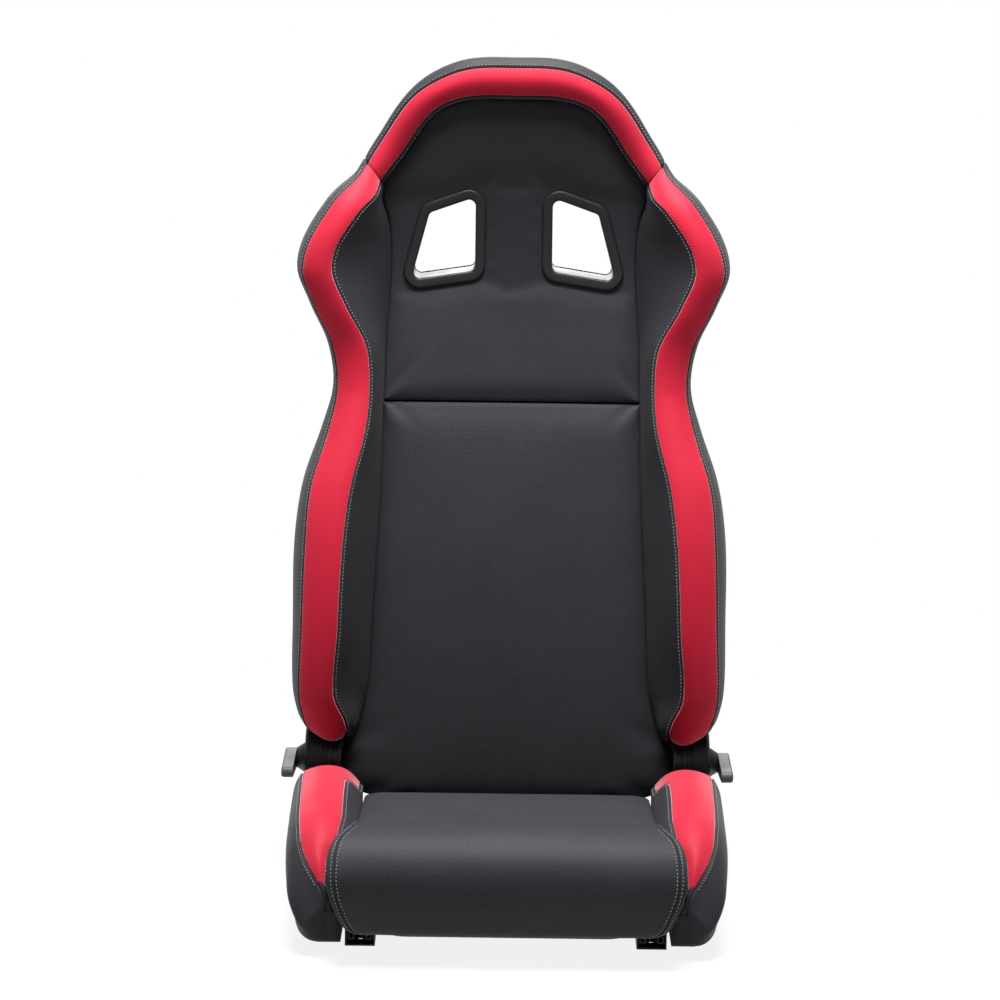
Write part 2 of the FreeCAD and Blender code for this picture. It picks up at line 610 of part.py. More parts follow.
def build_cushion_frame():
    for name, y in (("front_cross_member", -CROSS_Y), ("rear_cross_member", CROSS_Y)):
        save(name, channel(y))

    plate = extruded(side_outline(SIDE_IN_X), Vector(PLATE_THICK, 0, 0))
    plate = plate.fuse(rod_x(HEAD_RADIUS, SIDE_IN_X, SIDE_OUT_X, PIVOT_Y, PIVOT_Z))
    flange_top = CROSS_TOP_Z + PLATE_THICK
    flange_y0 = SIDE_FRONT_Y + SIDE_ROUNDS[1]
    flange_y1 = SIDE_REAR_Y - SIDE_ROUNDS[-1]
    flange = box(SIDE_IN_X - FLANGE_REACH, SIDE_IN_X, flange_y0, flange_y1, CROSS_TOP_Z, flange_top)
    plate = plate.fuse(flange).removeSplitter()
    holes = [(LIGHTENING_RADIUS, y, (flange_top + SIDE_TOP_Z) / 2) for y in LIGHTENING_YS]
    holes.append((2 * LIGHTENING_RADIUS, REAR_HOLE_Y, REAR_HOLE_Z))
    holes.append((SHAFT_RADIUS + SHAFT_CLEAR, PIVOT_Y, PIVOT_Z))
    for radius, y, z in holes:
        plate = plate.cut(rod_x(radius, SIDE_IN_X - 1, SIDE_OUT_X + 1, y, z))
    bolt_x = SIDE_IN_X - FLANGE_REACH / 2
    for y in (-CROSS_Y, CROSS_Y):
        plate = plate.cut(rod_z(BOLT_RADIUS, CROSS_TOP_Z - 1, flange_top + 1, bolt_x, y))

    path = [
        Vector(-FRAME_X, FRAME_REAR_Y, FRAME_Z), Vector(-FRAME_X, FRAME_FRONT_Y, FRAME_Z),
        Vector(FRAME_X, FRAME_FRONT_Y, FRAME_Z), Vector(FRAME_X, FRAME_REAR_Y, FRAME_Z),
    ]
    solid = bar(path, TUBE_BEND, TUBE_RADIUS)
    bore = bar(path, TUBE_BEND, TUBE_RADIUS - TUBE_WALL)
    both_plates = plate.fuse(mirrored(plate))
    cross = rod_x(TUBE_RADIUS, -FRAME_X, FRAME_X, REAR_TUBE_Y, FRAME_Z)
    cross_bore = rod_x(TUBE_RADIUS - TUBE_WALL, -FRAME_X, FRAME_X, REAR_TUBE_Y, FRAME_Z)
    bolts = [(sign * bolt_x, y) for sign in (-1, 1) for y in (-CROSS_Y, CROSS_Y)]
    room = HEX_ACROSS_CORNERS / 2 + 1
    heads = group(rod_z(room, CROSS_TOP_Z, flange_top + HEX_HEIGHT + 2, x, y) for x, y in bolts)
    save("cushion_frame", solid.cut(bore).cut(both_plates).cut(heads))
    save("rear_cross_tube", cross.cut(cross_bore).cut(solid))
    save_pair("side_member", plate)

    side_grip = CROSS_WALL + PLATE_THICK + 2
    save("side_bolts", group(hex_bolt(x, y, CROSS_TOP_Z - CROSS_WALL, side_grip, False) for x, y in bolts))
    rail_grip = CROSS_HEIGHT + RAIL_WALL
    places = [(sign * RAIL_X, y) for sign in (-1, 1) for y in (-CROSS_Y, CROSS_Y)]
    save("rail_bolts", group(hex_bolt(x, y, CROSS_TOP_Z, rail_grip, True) for x, y in places))
    return group([solid, cross])


def ring_x(outer, inner, x0, x1):
    return rod_x(outer, x0, x1, PIVOT_Y, PIVOT_Z).cut(rod_x(inner, x0 - 1, x1 + 1, PIVOT_Y, PIVOT_Z))


def cover_block(inset, x0, x1):
    """Outline of the recliner cover, drawn in by a distance and run from x0 to x1."""
    head = COVER_HEAD_RADIUS - inset
    low = COVER_BOTTOM_Z + inset
    corner = COVER_CORNER - inset
    outline = rounded([
        Vector(x0, COVER_FRONT_Y + inset, low), Vector(x0, COVER_FRONT_Y + inset, COVER_FRONT_Z - inset),
        Vector(x0, PIVOT_Y - head, PIVOT_Z), Vector(x0, PIVOT_Y + head, PIVOT_Z),
        Vector(x0, COVER_REAR_Y - inset, low),
    ], (corner, corner, 0, 0, corner))
    block = extruded(outline, Vector(x1 - x0, 0, 0))
    return block.fuse(rod_x(head, x0, x1, PIVOT_Y, PIVOT_Z)).removeSplitter()


def build_recliners():
    """Two half discs that turn in each other, the moulded cover outside them and its flat coil spring."""
    bore = SHAFT_RADIUS + SHAFT_CLEAR
    middle = (DISC_IN_X + SIDE_IN_X) / 2
    upper = ring_x(DISC_RADIUS, bore, DISC_IN_X, middle - DISC_GAP / 2)
    lower = ring_x(DISC_RADIUS + DISC_RIM, bore, middle + DISC_GAP / 2, SIDE_IN_X)
    save_pair("recliner_disc_upper", upper)
    save_pair("recliner_disc_lower", lower)

    outer = cover_block(0, SIDE_OUT_X, COVER_OUT_X)
    outer_edges = [edge for edge in outer.Edges if edge.BoundBox.XMin > COVER_OUT_X - 0.01]
    hollow = cover_block(COVER_WALL, SIDE_OUT_X - 1, COVER_OUT_X - COVER_WALL)
    cover = outer.makeFillet(COVER_FILLET, outer_edges).cut(hollow)
    cover = cover.cut(rod_x(bore, SIDE_OUT_X, COVER_OUT_X + 1, PIVOT_Y, PIVOT_Z))
    screw_z = COVER_BOTTOM_Z + COVER_SCREW_INSET
    screws = ((COVER_FRONT_Y + COVER_SCREW_INSET, screw_z), (COVER_REAR_Y - COVER_SCREW_INSET, screw_z))
    pillars = [rod_x(SCREW_HEAD_RADIUS, SIDE_OUT_X, COVER_OUT_X - COVER_WALL, y, z) for y, z in screws]
    cover = cover.fuse(pillars)
    for y, z in screws:
        cover = cover.cut(rod_x(SCREW_RADIUS, SIDE_OUT_X - 1, COVER_OUT_X + 1, y, z))
    save_pair("recliner_cover", cover.removeSplitter())
    heads = []
    for y, z in screws:
        head = rod_x(SCREW_HEAD_RADIUS, COVER_OUT_X, COVER_OUT_X + SCREW_HEAD_HEIGHT, y, z)
        heads.append(head.fuse(rod_x(SCREW_RADIUS, SIDE_OUT_X + 1, COVER_OUT_X, y, z)))
    save_pair("cover_screws", group(heads))

    coil_x = SIDE_OUT_X + COIL_GAP
    inner_edges = []
    outer_edges = []
    for index in range(2 * COIL_TURNS):
        side = 1 if index % 2 else -1
        middle_y = PIVOT_Y + side * COIL_PITCH / 4
        for edges, extra in ((inner_edges, 0.0), (outer_edges, COIL_STRIP)):
            radius = COIL_INNER + COIL_PITCH * index / 2 + extra
            top = Vector(coil_x, middle_y, PIVOT_Z + radius * side)
            near = Vector(coil_x, middle_y + radius, PIVOT_Z)
            far = Vector(coil_x, middle_y - radius, PIVOT_Z)
            edges.append(Part.Arc(near, top, far).toShape())
    caps = []
    for index in (0, -1):
        start = inner_edges[index].Vertexes[0].Point
        end = outer_edges[index].Vertexes[0].Point
        caps.append(Part.LineSegment(start, end).toShape())
    wire = Part.Wire(Part.__sortEdges__(inner_edges + outer_edges + caps))
    save_pair("recliner_spring", extruded(wire, Vector(COIL_WIDTH, 0, 0)))


def build_levers():
    tilt = math.radians(LEVER_RISE)
    tip_y = PIVOT_Y - LEVER_REACH * math.cos(tilt)
    tip_z = PIVOT_Z + LEVER_REACH * math.sin(tilt)
    rear = Vector(LEVER_IN_X, PIVOT_Y, PIVOT_Z)
    tip = Vector(LEVER_IN_X, tip_y, tip_z)
    along = (tip - rear).normalize()
    across = Vector(0, -along.z, along.y)
    spread = math.asin((LEVER_REAR_RADIUS - LEVER_TIP_RADIUS) / LEVER_REACH)

    def rim(centre, radius, sign):
        return centre + (across * (sign * math.cos(spread)) + along * math.sin(spread)) * radius

    top_rear = rim(rear, LEVER_REAR_RADIUS, 1)
    top_tip = rim(tip, LEVER_TIP_RADIUS, 1)
    low_tip = rim(tip, LEVER_TIP_RADIUS, -1)
    low_rear = rim(rear, LEVER_REAR_RADIUS, -1)
    outline = Part.Wire([
        Part.LineSegment(top_rear, top_tip).toShape(),
        Part.Arc(top_tip, tip + along * LEVER_TIP_RADIUS, low_tip).toShape(),
        Part.LineSegment(low_tip, low_rear).toShape(),
        Part.Arc(low_rear, rear - along * LEVER_REAR_RADIUS, top_rear).toShape(),
    ])
    grip = extruded(outline, Vector(LEVER_WIDTH, 0, 0))
    outer_edges = [edge for edge in grip.Edges if edge.BoundBox.XMin > LEVER_IN_X + LEVER_WIDTH - 0.01]
    grip = grip.makeFillet(LEVER_EDGE, outer_edges)
    hub_foot = Vector(COVER_OUT_X + 1, PIVOT_Y, PIVOT_Z)
    hub = Part.makeCone(HUB_RADIUS, LEVER_REAR_RADIUS, HUB_LENGTH - 1, hub_foot, Vector(1, 0, 0))
    lever = grip.fuse(hub).cut(rod_x(SHAFT_RADIUS, COVER_OUT_X, LEVER_IN_X, PIVOT_Y, PIVOT_Z))
    save_pair("recline_lever", lever.removeSplitter())
    save("lever_shaft", rod_x(SHAFT_RADIUS, -LEVER_IN_X, LEVER_IN_X, PIVOT_Y, PIVOT_Z))


def build_back_frame():
    """Bent hoop with a cross tube at its foot and one below the belt slots, on a plate at each side."""
    hoop_points = [Vector(x, hoop_y(z) + back, z) for x, z, back in HOOP_ROUTE]
    hoop_points += [Vector(-p.x, p.y, p.z) for p in reversed(hoop_points)]
    solid = bar(hoop_points, HOOP_BEND, HOOP_RADIUS)
    bore = bar(hoop_points, HOOP_BEND, HOOP_RADIUS - HOOP_WALL)

    x = PLATE_IN_X
    foot_y = foam_y(BACK_FOOT_Z)
    top_y = foam_y(ARM_TOP_Z)
    corners = (
        (PIVOT_Y + ARM_ROOT[0], PIVOT_Z + ARM_ROOT[1]), (foot_y + ARM_GAP, RECLINER_ROOM_Z - ARM_DROP),
        (top_y + ARM_GAP, ARM_TOP_Z), (top_y + ARM_DEPTH, ARM_TOP_Z), (foot_y + ARM_DEPTH, BACK_FOOT_Z),
        (PIVOT_Y + ARM_HEEL[0], PIVOT_Z + ARM_HEEL[1]),
    )
    arm = extruded(polyline([Vector(x, y, z) for y, z in corners]), Vector(PLATE_THICK, 0, 0))
    plate = rod_x(HEAD_RADIUS, x, x + PLATE_THICK, PIVOT_Y, PIVOT_Z).fuse(arm)
    plate = plate.cut(rod_x(SHAFT_RADIUS + SHAFT_CLEAR, x - 1, x + PLATE_THICK + 1, PIVOT_Y, PIVOT_Z))
    plate = plate.removeSplitter()
    both_plates = plate.fuse(mirrored(plate))
    save("back_hoop", solid.cut(bore).cut(both_plates))
    save_pair("recliner_plate", plate)

    foot = rod_x(BACK_TUBE_RADIUS, -x, x, BACK_TUBE_Y, BACK_TUBE_Z)
    foot = foot.cut(rod_x(BACK_TUBE_RADIUS - HOOP_WALL, -x, x, BACK_TUBE_Y, BACK_TUBE_Z))
    save("back_foot_tube", foot)
    upper_y = hoop_y(UPPER_TUBE_Z) + UPPER_TUBE_BACK
    upper = rod_x(UPPER_TUBE_RADIUS, -HOOP_X, HOOP_X, upper_y, UPPER_TUBE_Z)
    upper = upper.cut(rod_x(UPPER_TUBE_RADIUS - HOOP_WALL, -HOOP_X, HOOP_X, upper_y, UPPER_TUBE_Z))
    upper = upper.cut(solid)
    save("back_upper_tube", max(upper.Solids, key=lambda piece: piece.Volume))
    return solid


def build_springs(frame_tube, hoop):
    """Zigzag springs, four under the cushion and three behind the backrest pad, that butt on their tubes."""
    def zigzag(length):
        """Flat zigzag along local X, centred in local Y, as an outline of round-ended strokes."""
        count = int(length // (4 * SPRING_BEND))
        pitch = length / count / 2
        reach = SPRING_SPREAD - SPRING_BEND
        strokes = []
        for index in range(2 * count):
            x = pitch * (index + 0.5)
            strokes.append(box(x - WIRE / 2, x + WIRE / 2, -reach, reach, -WIRE / 2, WIRE / 2))
        for index in range(2 * count - 1):
            x = pitch * (index + 1)
            sign = 1 if index % 2 else -1
            outer = Part.makeCylinder(pitch / 2 + WIRE / 2, WIRE, Vector(x, sign * reach, -WIRE / 2))
            inner = Part.makeCylinder(pitch / 2 - WIRE / 2, WIRE, Vector(x, sign * reach, -WIRE / 2))
            far = box(x - pitch, x + pitch, 0, pitch, -WIRE, WIRE)
            far.translate(Vector(0, sign * reach - (pitch if sign < 0 else 0), 0))
            strokes.append(outer.cut(inner).common(far))
        lead = pitch / 2 + WIRE / 2
        strokes.append(box(-WIRE, lead, reach - WIRE, reach, -WIRE / 2, WIRE / 2))
        strokes.append(box(length - lead, length + WIRE, -reach, -reach + WIRE, -WIRE / 2, WIRE / 2))
        return strokes[0].fuse(strokes[1:]).removeSplitter()

    seat_length = REAR_TUBE_Y - FRAME_FRONT_Y - 2 * TUBE_RADIUS
    seat = []
    for x in SEAT_SPRING_XS:
        spring = zigzag(seat_length)
        spring.rotate(Vector(0, 0, 0), Vector(0, 0, 1), 90)
        spring.translate(Vector(x, FRAME_FRONT_Y + TUBE_RADIUS, FRAME_Z - WIRE / 2))
        seat.append(spring.cut(frame_tube))
    save("seat_springs", group(seat))

    back_length = 2 * (HOOP_X - HOOP_RADIUS)
    back = []
    for z in BACK_SPRING_ZS:
        spring = zigzag(back_length)
        spring.translate(Vector(-back_length / 2, 0, 0))
        rise = 2 * SPRING_SPREAD
        lean = math.degrees(math.atan2(hoop_y(z + SPRING_SPREAD) - hoop_y(z - SPRING_SPREAD), rise))
        spring.rotate(Vector(0, 0, 0), Vector(1, 0, 0), 90 - lean)
        spring.translate(Vector(0, hoop_y(z) + BACK_SPRING_SET, z))
        back.append(spring.cut(hoop))
    save("back_springs", group(back))


def roll_shape(grow):
    """The roll, or the room for it: its section run across the seat and trimmed to its outline."""
    section = []
    for y, z in ROLL_SECTION:
        arm = Vector(0, y - ROLL_MIDDLE[0], z - ROLL_MIDDLE[1])
        section.append(Vector(-SLAB_HALF, y, z) + arm.normalize() * grow)
    wire = Part.Wire([
        Part.LineSegment(section[0], section[1]).toShape(), spline(section[1:-1]),
        Part.LineSegment(section[-2], section[-1]).toShape(),
        Part.LineSegment(section[-1], section[0]).toShape(),
    ])
    roll = extruded(wire, Vector(2 * SLAB_HALF, 0, 0))
    depth = ROLL_REAR_Y + 2 * FOAM_GAP
    right = [Vector(x + grow, depth, z - grow) for x, z in ROLL_OUTLINE]
    left = [Vector(-p.x, p.y, p.z) for p in reversed(right)]
    outline = Part.Wire([
        spline(right), Part.LineSegment(right[-1], left[0]).toShape(), spline(left),
        Part.LineSegment(left[-1], right[0]).toShape(),
    ])
    return roll.common(extruded(outline, Vector(0, -ROLL_REACH, 0)))


def build_cushion():
    low = CUSHION_BASE_Z
    front = ROLL_REAR_Y + FOAM_GAP
    step_y = FRAME_FRONT_Y + TUBE_RADIUS + STEP_CLEAR
    over_tube = FRAME_Z + TUBE_RADIUS + FOAM_GAP
    corners = (
        (CUSHION_REAR_Y - REAR_CUT[0], low), (CUSHION_REAR_Y, low + REAR_CUT[1]),
        (CUSHION_REAR_Y, CUSHION_REAR_Z), (front, CUSHION_FRONT_Z), (front, over_tube),
        (step_y, over_tube), (step_y + STEP_SLOPE, low),
    )
    ring = rounded([Vector(-CUSHION_HALF, y, z) for y, z in corners], CUSHION_ROUNDS)
    save("cushion_pad", extruded(ring, Vector(2 * CUSHION_HALF, 0, 0)))

    save("front_roll", roll_shape(0))

    def section_at(row):
        y, valley, band_in, band_out, top, edge = row
        side_z = top - BAND_HEIGHT
        turn_z = SKIRT_BOTTOM_Z + (side_z - SKIRT_BOTTOM_Z) * SKIRT_TURN
        foot_x = max(edge - SKIRT_TAPER, SKIRT_IN_X + 1)
        outer_foot = Vector(foot_x, y, SKIRT_BOTTOM_Z)
        inner_foot = Vector(BOLSTER_INNER_X, y, SKIRT_BOTTOM_Z)
        inner = Vector(BOLSTER_INNER_X, y, valley)
        crown = [
            inner, Vector(band_in, y, top - BAND_IN_DROP), Vector((band_in + band_out) / 2, y, top),
            Vector(band_out, y, top - BAND_OUT_DROP), Vector(edge, y, side_z),
            Vector(edge - SIDE_DRAW, y, turn_z), outer_foot,
        ]
        return Part.Wire([
            Part.LineSegment(outer_foot, inner_foot).toShape(), Part.LineSegment(inner_foot, inner).toShape(),
            spline(crown),
        ])

    bolster = Part.makeLoft([section_at(row) for row in CUSHION_WING], True, False)
    front_y0 = CUSHION_WING[0][0] - 1
    rear_y1 = CUSHION_WING[-1][0] + 1
    bolster = bolster.cut(box(0, SKIRT_IN_X, NOSE_REAR_Y, rear_y1, 0, BOLSTER_BASE_Z))
    bolster = bolster.cut(box(0, NOSE_IN_X, front_y0, NOSE_REAR_Y, 0, SLAB_HALF))
    bolster = bolster.cut(roll_shape(1.5 * FOAM_GAP))
    bolster = max(bolster.Solids, key=lambda piece: piece.Volume)
    save_pair("cushion_bolster", bolster)


def along_station(station, distance):
    x, z, angle = station[:3]
    return x + math.cos(math.radians(angle)) * distance, z + math.sin(math.radians(angle)) * distance


def wing_section(station):
    """Closed outline across a bolster: flat back and inner side, rounded front and outer side."""
    inner, outer, edge, rise = station[3:]

    def at(distance, depth):
        x, z = along_station(station, distance)
        return Vector(x, depth(z), z)

    back_in = at(0, foam_y)
    valley = at(0, front_y)
    crest_in = at(inner, lambda z: front_y(z) - rise)
    crest_mid = at((inner + outer) / 2, lambda z: front_y(z) - rise - CREST_SWELL)
    crest_out = at(outer, lambda z: front_y(z) - rise + CREST_FALL)
    side = at(edge, lambda z: front_y(z) + (foam_y(z) - front_y(z)) * SIDE_DEPTH - rise * SIDE_LEAD)
    back_out = at(edge - EDGE_TUCK, foam_y)
    return Part.Wire([
        Part.LineSegment(back_in, valley).toShape(),
        spline([valley, crest_in, crest_mid, crest_out, side, back_out]),
        Part.LineSegment(back_out, back_in).toShape(),
    ])


def mirrored_station(station):
    return (-station[0], station[1], 180.0 - station[2]) + tuple(station[3:])


def outline_wire(right_points, foot_points):
    """Wire in the XZ plane: a spline up the right side and down the left, closed by straight runs below."""
    right = [Vector(x, 0, z) for x, z in right_points]
    left = [Vector(-p.x, 0, p.z) for p in reversed(right) if p.x > 0.01]
    edges = [spline(right + left)]
    foot = [Vector(-x, 0, z) for x, z in foot_points]
    run = [left[-1]] + foot + [Vector(-p.x, 0, p.z) for p in reversed(foot)] + [right[0]]
    edges += [Part.LineSegment(a, b).toShape() for a, b in zip(run, run[1:])]
    return Part.Wire(edges)


def prism_y(wire):
    """Extrudes an XZ outline right through the backrest."""
    moved = wire.copy()
    moved.translate(Vector(0, THROUGH_FRONT_Y, 0))
    return extruded(moved, Vector(0, THROUGH_LENGTH, 0))


def slot_wire(grow):
    """Belt slot outline, made larger all round by a distance."""
    corners = [Vector(x, 0, z) for x, z in SLOT_CORNERS]
    wire = rounded(corners, [SLOT_ROUND] * len(corners))
    return wire if grow == 0 else wire.makeOffset2D(grow)


def build_backrest_upholstery():
    wing = Part.makeLoft([wing_section(s) for s in WING + ARCH[:1]], True, False)
    low_z = WING[0][1] - 1
    rear = foam_y(RECLINER_ROOM_Z) + 1
    wing = wing.cut(box(RECLINER_ROOM_X, SLAB_HALF, RECLINER_ROOM_Y, rear, low_z, RECLINER_ROOM_Z))
    save_pair("backrest_bolster", wing)
    first = ARCH[0]
    angle = math.radians(first[2])
    start = (first[0] - FOAM_GAP * math.sin(angle), first[1] + FOAM_GAP * math.cos(angle)) + tuple(first[2:])
    right_rows = (start,) + ARCH[1:]
    rows = list(right_rows) + [mirrored_station(s) for s in reversed(right_rows[:-1])]
    save("head_bolster", Part.makeLoft([wing_section(s) for s in rows], True, False))

    valley = [along_station(s, -PAD_INSET) for s in WING + ARCH]
    split = sum(1 for x, z in valley if z < PANEL_SEAM_Z)
    below = valley[split - 1]
    above = valley[split]
    share = (PANEL_SEAM_Z - below[1]) / (above[1] - below[1])
    seam_x = below[0] + (above[0] - below[0]) * share
    seam_low = PANEL_SEAM_Z - FOAM_GAP / 2
    seam_high = PANEL_SEAM_Z + FOAM_GAP / 2

    corners = list(reversed(PAD_FOOT)) + valley[:split] + [(seam_x, seam_low)]
    side = [Vector(x, 0, z) for x, z in corners]
    other = [Vector(-p.x, 0, p.z) for p in reversed(side)]
    lower_outline = Part.Wire([
        spline(side), Part.LineSegment(side[-1], other[0]).toShape(), spline(other),
        Part.Arc(other[-1], Vector(0, 0, PAD_BOTTOM_Z), side[0]).toShape(),
    ])
    pad = slab(front_y, foam_y).common(prism_y(lower_outline))
    room = polyline([
        Vector(-SLAB_HALF, front_y(SLAB_LOW_Z) + LOW_PAD_THICK, SLAB_LOW_Z),
        Vector(-SLAB_HALF, front_y(LOW_PAD_TOP_Z) + LOW_PAD_THICK, LOW_PAD_TOP_Z),
        Vector(-SLAB_HALF, foam_y(LOW_PAD_TOP_Z) + LOW_PAD_RAMP, LOW_PAD_TOP_Z + LOW_PAD_RISE),
        Vector(-SLAB_HALF, foam_y(LOW_PAD_TOP_Z) + LOW_PAD_RAMP, SLAB_LOW_Z),
    ])
    pad = pad.cut(extruded(room, Vector(2 * SLAB_HALF, 0, 0)))
    save("backrest_pad", pad)

    sleeve_hole = prism_y(slot_wire(SLEEVE_WALL))
    slots = sleeve_hole.fuse(mirrored(sleeve_hole))
    upper_points = [(seam_x, seam_high)] + valley[split:]
    upper = slab(front_y, foam_y).common(prism_y(outline_wire(upper_points, ())))
    save("shoulder_pad", upper.cut(slots))

    def bezel_front(z):
        return front_y(z) - BEZEL_PROUD

    def trim_rear(z):
        return rear_y(z) + TRIM_THICK

    opening = prism_y(slot_wire(0))
    whole = slab(bezel_front, rear_y)
    flange = slab(bezel_front, front_y)
    sleeve = sleeve_hole.common(whole).fuse(prism_y(slot_wire(BEZEL_WIDTH)).common(flange)).cut(opening)
    save_pair("belt_bezel", sleeve.removeSplitter())
    trim = prism_y(slot_wire(TRIM_WIDTH)).common(slab(rear_y, trim_rear)).cut(opening)
    save_pair("belt_trim", trim)

    def skin_y(z):
        return rear_y(z) - BACK_SKIN

    def rim_y(z):
        return foam_y(z) + FOAM_GAP

    def ahead_y(z):
        return rim_y(z) - BACK_SKIN

    def back_outline(inset):
        stations = WING[2:] + ARCH
        right = [along_station(s, s[5] - EDGE_TUCK - FOAM_GAP - inset) for s in stations]
        foot_x = right[0][0] - FOOT_DRAW
        step_z = BACK_FOOT_Z + inset
        tail_x = BACK_TAIL_HALF - inset
        foot = ((foot_x, step_z), (tail_x, step_z), (tail_x, BACK_TAIL_Z + inset))
        return outline_wire(right, foot)

    outer = slab(rim_y, rear_y).common(prism_y(back_outline(0)))
    hollow = slab(ahead_y, skin_y).common(prism_y(back_outline(BACK_SKIN)))
    cover = outer.cut(hollow)
    arm_x = PLATE_IN_X + PLATE_THICK + ARM_CLEAR
    notch_top = BACK_FOOT_Z + BACK_SKIN + 1
    notch_rear = foam_y(notch_top) + ARM_DEPTH + ARM_CLEAR
    notch = box(BACK_TAIL_HALF + ARM_CLEAR, arm_x, PIVOT_Y, notch_rear, BACK_FOOT_Z - 1, notch_top)
    cover = cover.cut(notch).cut(mirrored(notch))
    cover = cover.cut(rod_x(BACK_TUBE_RADIUS + SHAFT_ROOM, -SLAB_HALF, SLAB_HALF, BACK_TUBE_Y, BACK_TUBE_Z))
    cover = cover.cut(slots)
    cover = max(cover.Solids, key=lambda piece: piece.Volume)
    save("back_cover", cover)


main()
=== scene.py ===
import json
import math

import bmesh
import bpy
from bpy.props import FloatProperty, FloatVectorProperty, IntProperty, PointerProperty
from mathutils import Matrix, Vector
from mathutils.bvhtree import BVHTree


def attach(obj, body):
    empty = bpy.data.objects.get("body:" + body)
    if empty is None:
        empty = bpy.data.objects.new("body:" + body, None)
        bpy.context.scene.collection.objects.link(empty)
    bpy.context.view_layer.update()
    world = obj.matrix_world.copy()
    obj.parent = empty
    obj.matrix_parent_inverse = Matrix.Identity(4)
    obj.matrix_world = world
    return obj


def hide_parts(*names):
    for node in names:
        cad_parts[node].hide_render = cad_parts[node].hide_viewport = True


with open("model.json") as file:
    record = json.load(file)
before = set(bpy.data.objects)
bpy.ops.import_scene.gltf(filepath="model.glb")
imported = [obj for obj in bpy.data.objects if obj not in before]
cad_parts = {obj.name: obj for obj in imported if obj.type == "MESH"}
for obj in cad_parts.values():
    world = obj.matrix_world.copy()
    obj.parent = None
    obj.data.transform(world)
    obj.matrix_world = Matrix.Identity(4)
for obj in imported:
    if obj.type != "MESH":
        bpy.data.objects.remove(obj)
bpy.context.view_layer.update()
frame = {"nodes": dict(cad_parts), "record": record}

bl_info = {
    "name": "Sports seat upholstery",
    "version": (1, 0, 0),
    "blender": (4, 5, 0),
    "location": "3D View > Sidebar > Seat",
    "description": "Dresses the frame of a reclining sports seat in sewn covers, threads and moulded trim",
    "category": "Object",
}

MM = 0.001

# Forms of the foam, in millimetres. Side profile of the backrest: height and depth of the sitting surface.
BACK_PROFILE = (
    (80, 126), (180, 150), (280, 176), (400, 212), (540, 262), (620, 292),
    (690, 317), (760, 329), (830, 333), (900, 331), (985, 325),
)
# Height, depth of the foam and depth of the whole backrest
BACK_DEPTHS = ((80, 60, 92), (560, 60, 92), (700, 44, 76), (800, 36, 68), (990, 36, 66))
# Bolster stations: valley seam X and Z, outward angle, distances from there to the band's inner seam,
# its outer seam and the outer edge, and how far the band stands in front of the centre
WING = (
    (186, 164, 0, 16, 42, 51, 28), (182, 177, 0, 12, 58, 67, 44), (178, 192, 0, 18, 68, 77, 56),
    (171, 225, 0, 38, 81, 91, 72), (168, 300, 0, 37, 82, 95, 86), (163, 395, 0, 38, 85, 100, 88),
    (160, 465, 0, 33, 83, 94, 80), (159, 530, 0, 18, 65, 73, 64), (158, 580, 0, 15, 56, 62, 55),
    (157, 630, 0, 21, 64, 71, 60), (154, 680, 0, 50, 90, 97, 80), (152, 728, 0, 69, 106, 115, 88),
    (155, 772, 20, 40, 75, 83, 70), (164, 803, 40, 9, 41, 46, 42),
)
ARCH = (
    (163, 822, 52, 4, 32, 38, 20), (136, 858, 34, 4, 34, 40, 14), (109, 898, 50, 4, 35, 42, 13),
    (87, 917, 66, 4, 34, 44, 13), (52, 927, 82, 4, 38, 49, 13), (0, 928, 90, 4, 39, 50, 13),
)
# Outside this place and behind this depth the bolster's lower end keeps above this height, over the recliner
RECLINER_ROOM_X = 199
RECLINER_ROOM_Y = 126
RECLINER_ROOM_Z = 178
# How far the front of that end hangs down to a blunt tip, and between which X and ahead of which Y it does so
TIP_DROP = 10
TIP_INNER_X, TIP_OUTER_X, TIP_REAR_Y = (190, 210), (216, 240), (96, 122)
# How far the middle of a band stands before its inner seam, and its outer seam behind that
BAND_CROWN, BAND_DROP = 3, 6
# Lower middle panel below the valleys: its side and its lower edge, X and Z
PAD_FOOT = ((184, 97), (201, 112), (203, 128), (203, 146))
PAD_BOTTOM = ((-181, 98), (-135, 87), (0, 84), (135, 87), (181, 98))
PANEL_SEAM_Z = 558
# How far the middle panels end inside the valleys; below zero they reach under the bolsters
PAD_INSET = -0.8
# How far the bolsters' rear edges are drawn in
EDGE_TUCK = 5
# Belt slot: corners in X and Z, their radius, the wall of its sleeve and the width of its frame
SLOT_CORNERS = ((48, 716), (48, 806), (105, 786), (127, 704))
SLOT_ROUND = 8
SLEEVE_WALL = 2.5
BEZEL_WIDTH = 13
# Section of that frame: how far outside the slot each line runs, and its depth behind the fabric's face
BEZEL_LINES = (
    (0.0, None), (0.0, 12.0), (0.0, -2.4), (0.35, -3.6), (1.3, -4.5), (2.8, -4.9), (6.0, -5.0),
    (9.4, -4.9), (11.2, -4.5), (12.4, -3.5), (12.9, -2.0), (13.0, -0.4), (13.0, 0.0), (2.5, 0.0),
    (2.5, 12.0), (2.5, None), (0.0, None),
)
# Lower edge of the back cover's large panel, and the tail below it: half width, lower and upper edge
BACK_EDGE_Z = 185.0
TAIL_X, TAIL_LOW, TAIL_HIGH = 176.0, 96.0, 192.0
# Cushion bolster, front to rear: Y, valley height, band inner and outer seams in X, top, outer edge
CUSHION_WING = (
    (-236, 57, 203, 208, 66, 230), (-212, 82, 202, 222, 98, 244), (-180, 106, 193, 234, 122, 249),
    (-155, 116, 190, 237, 134, 251), (-130, 121, 188, 239, 141, 252), (-70, 122, 189, 241, 149, 253),
    (0, 119, 190, 243, 150, 254), (52, 119, 190, 244, 147, 254), (80, 118, 188, 240, 137, 251),
)
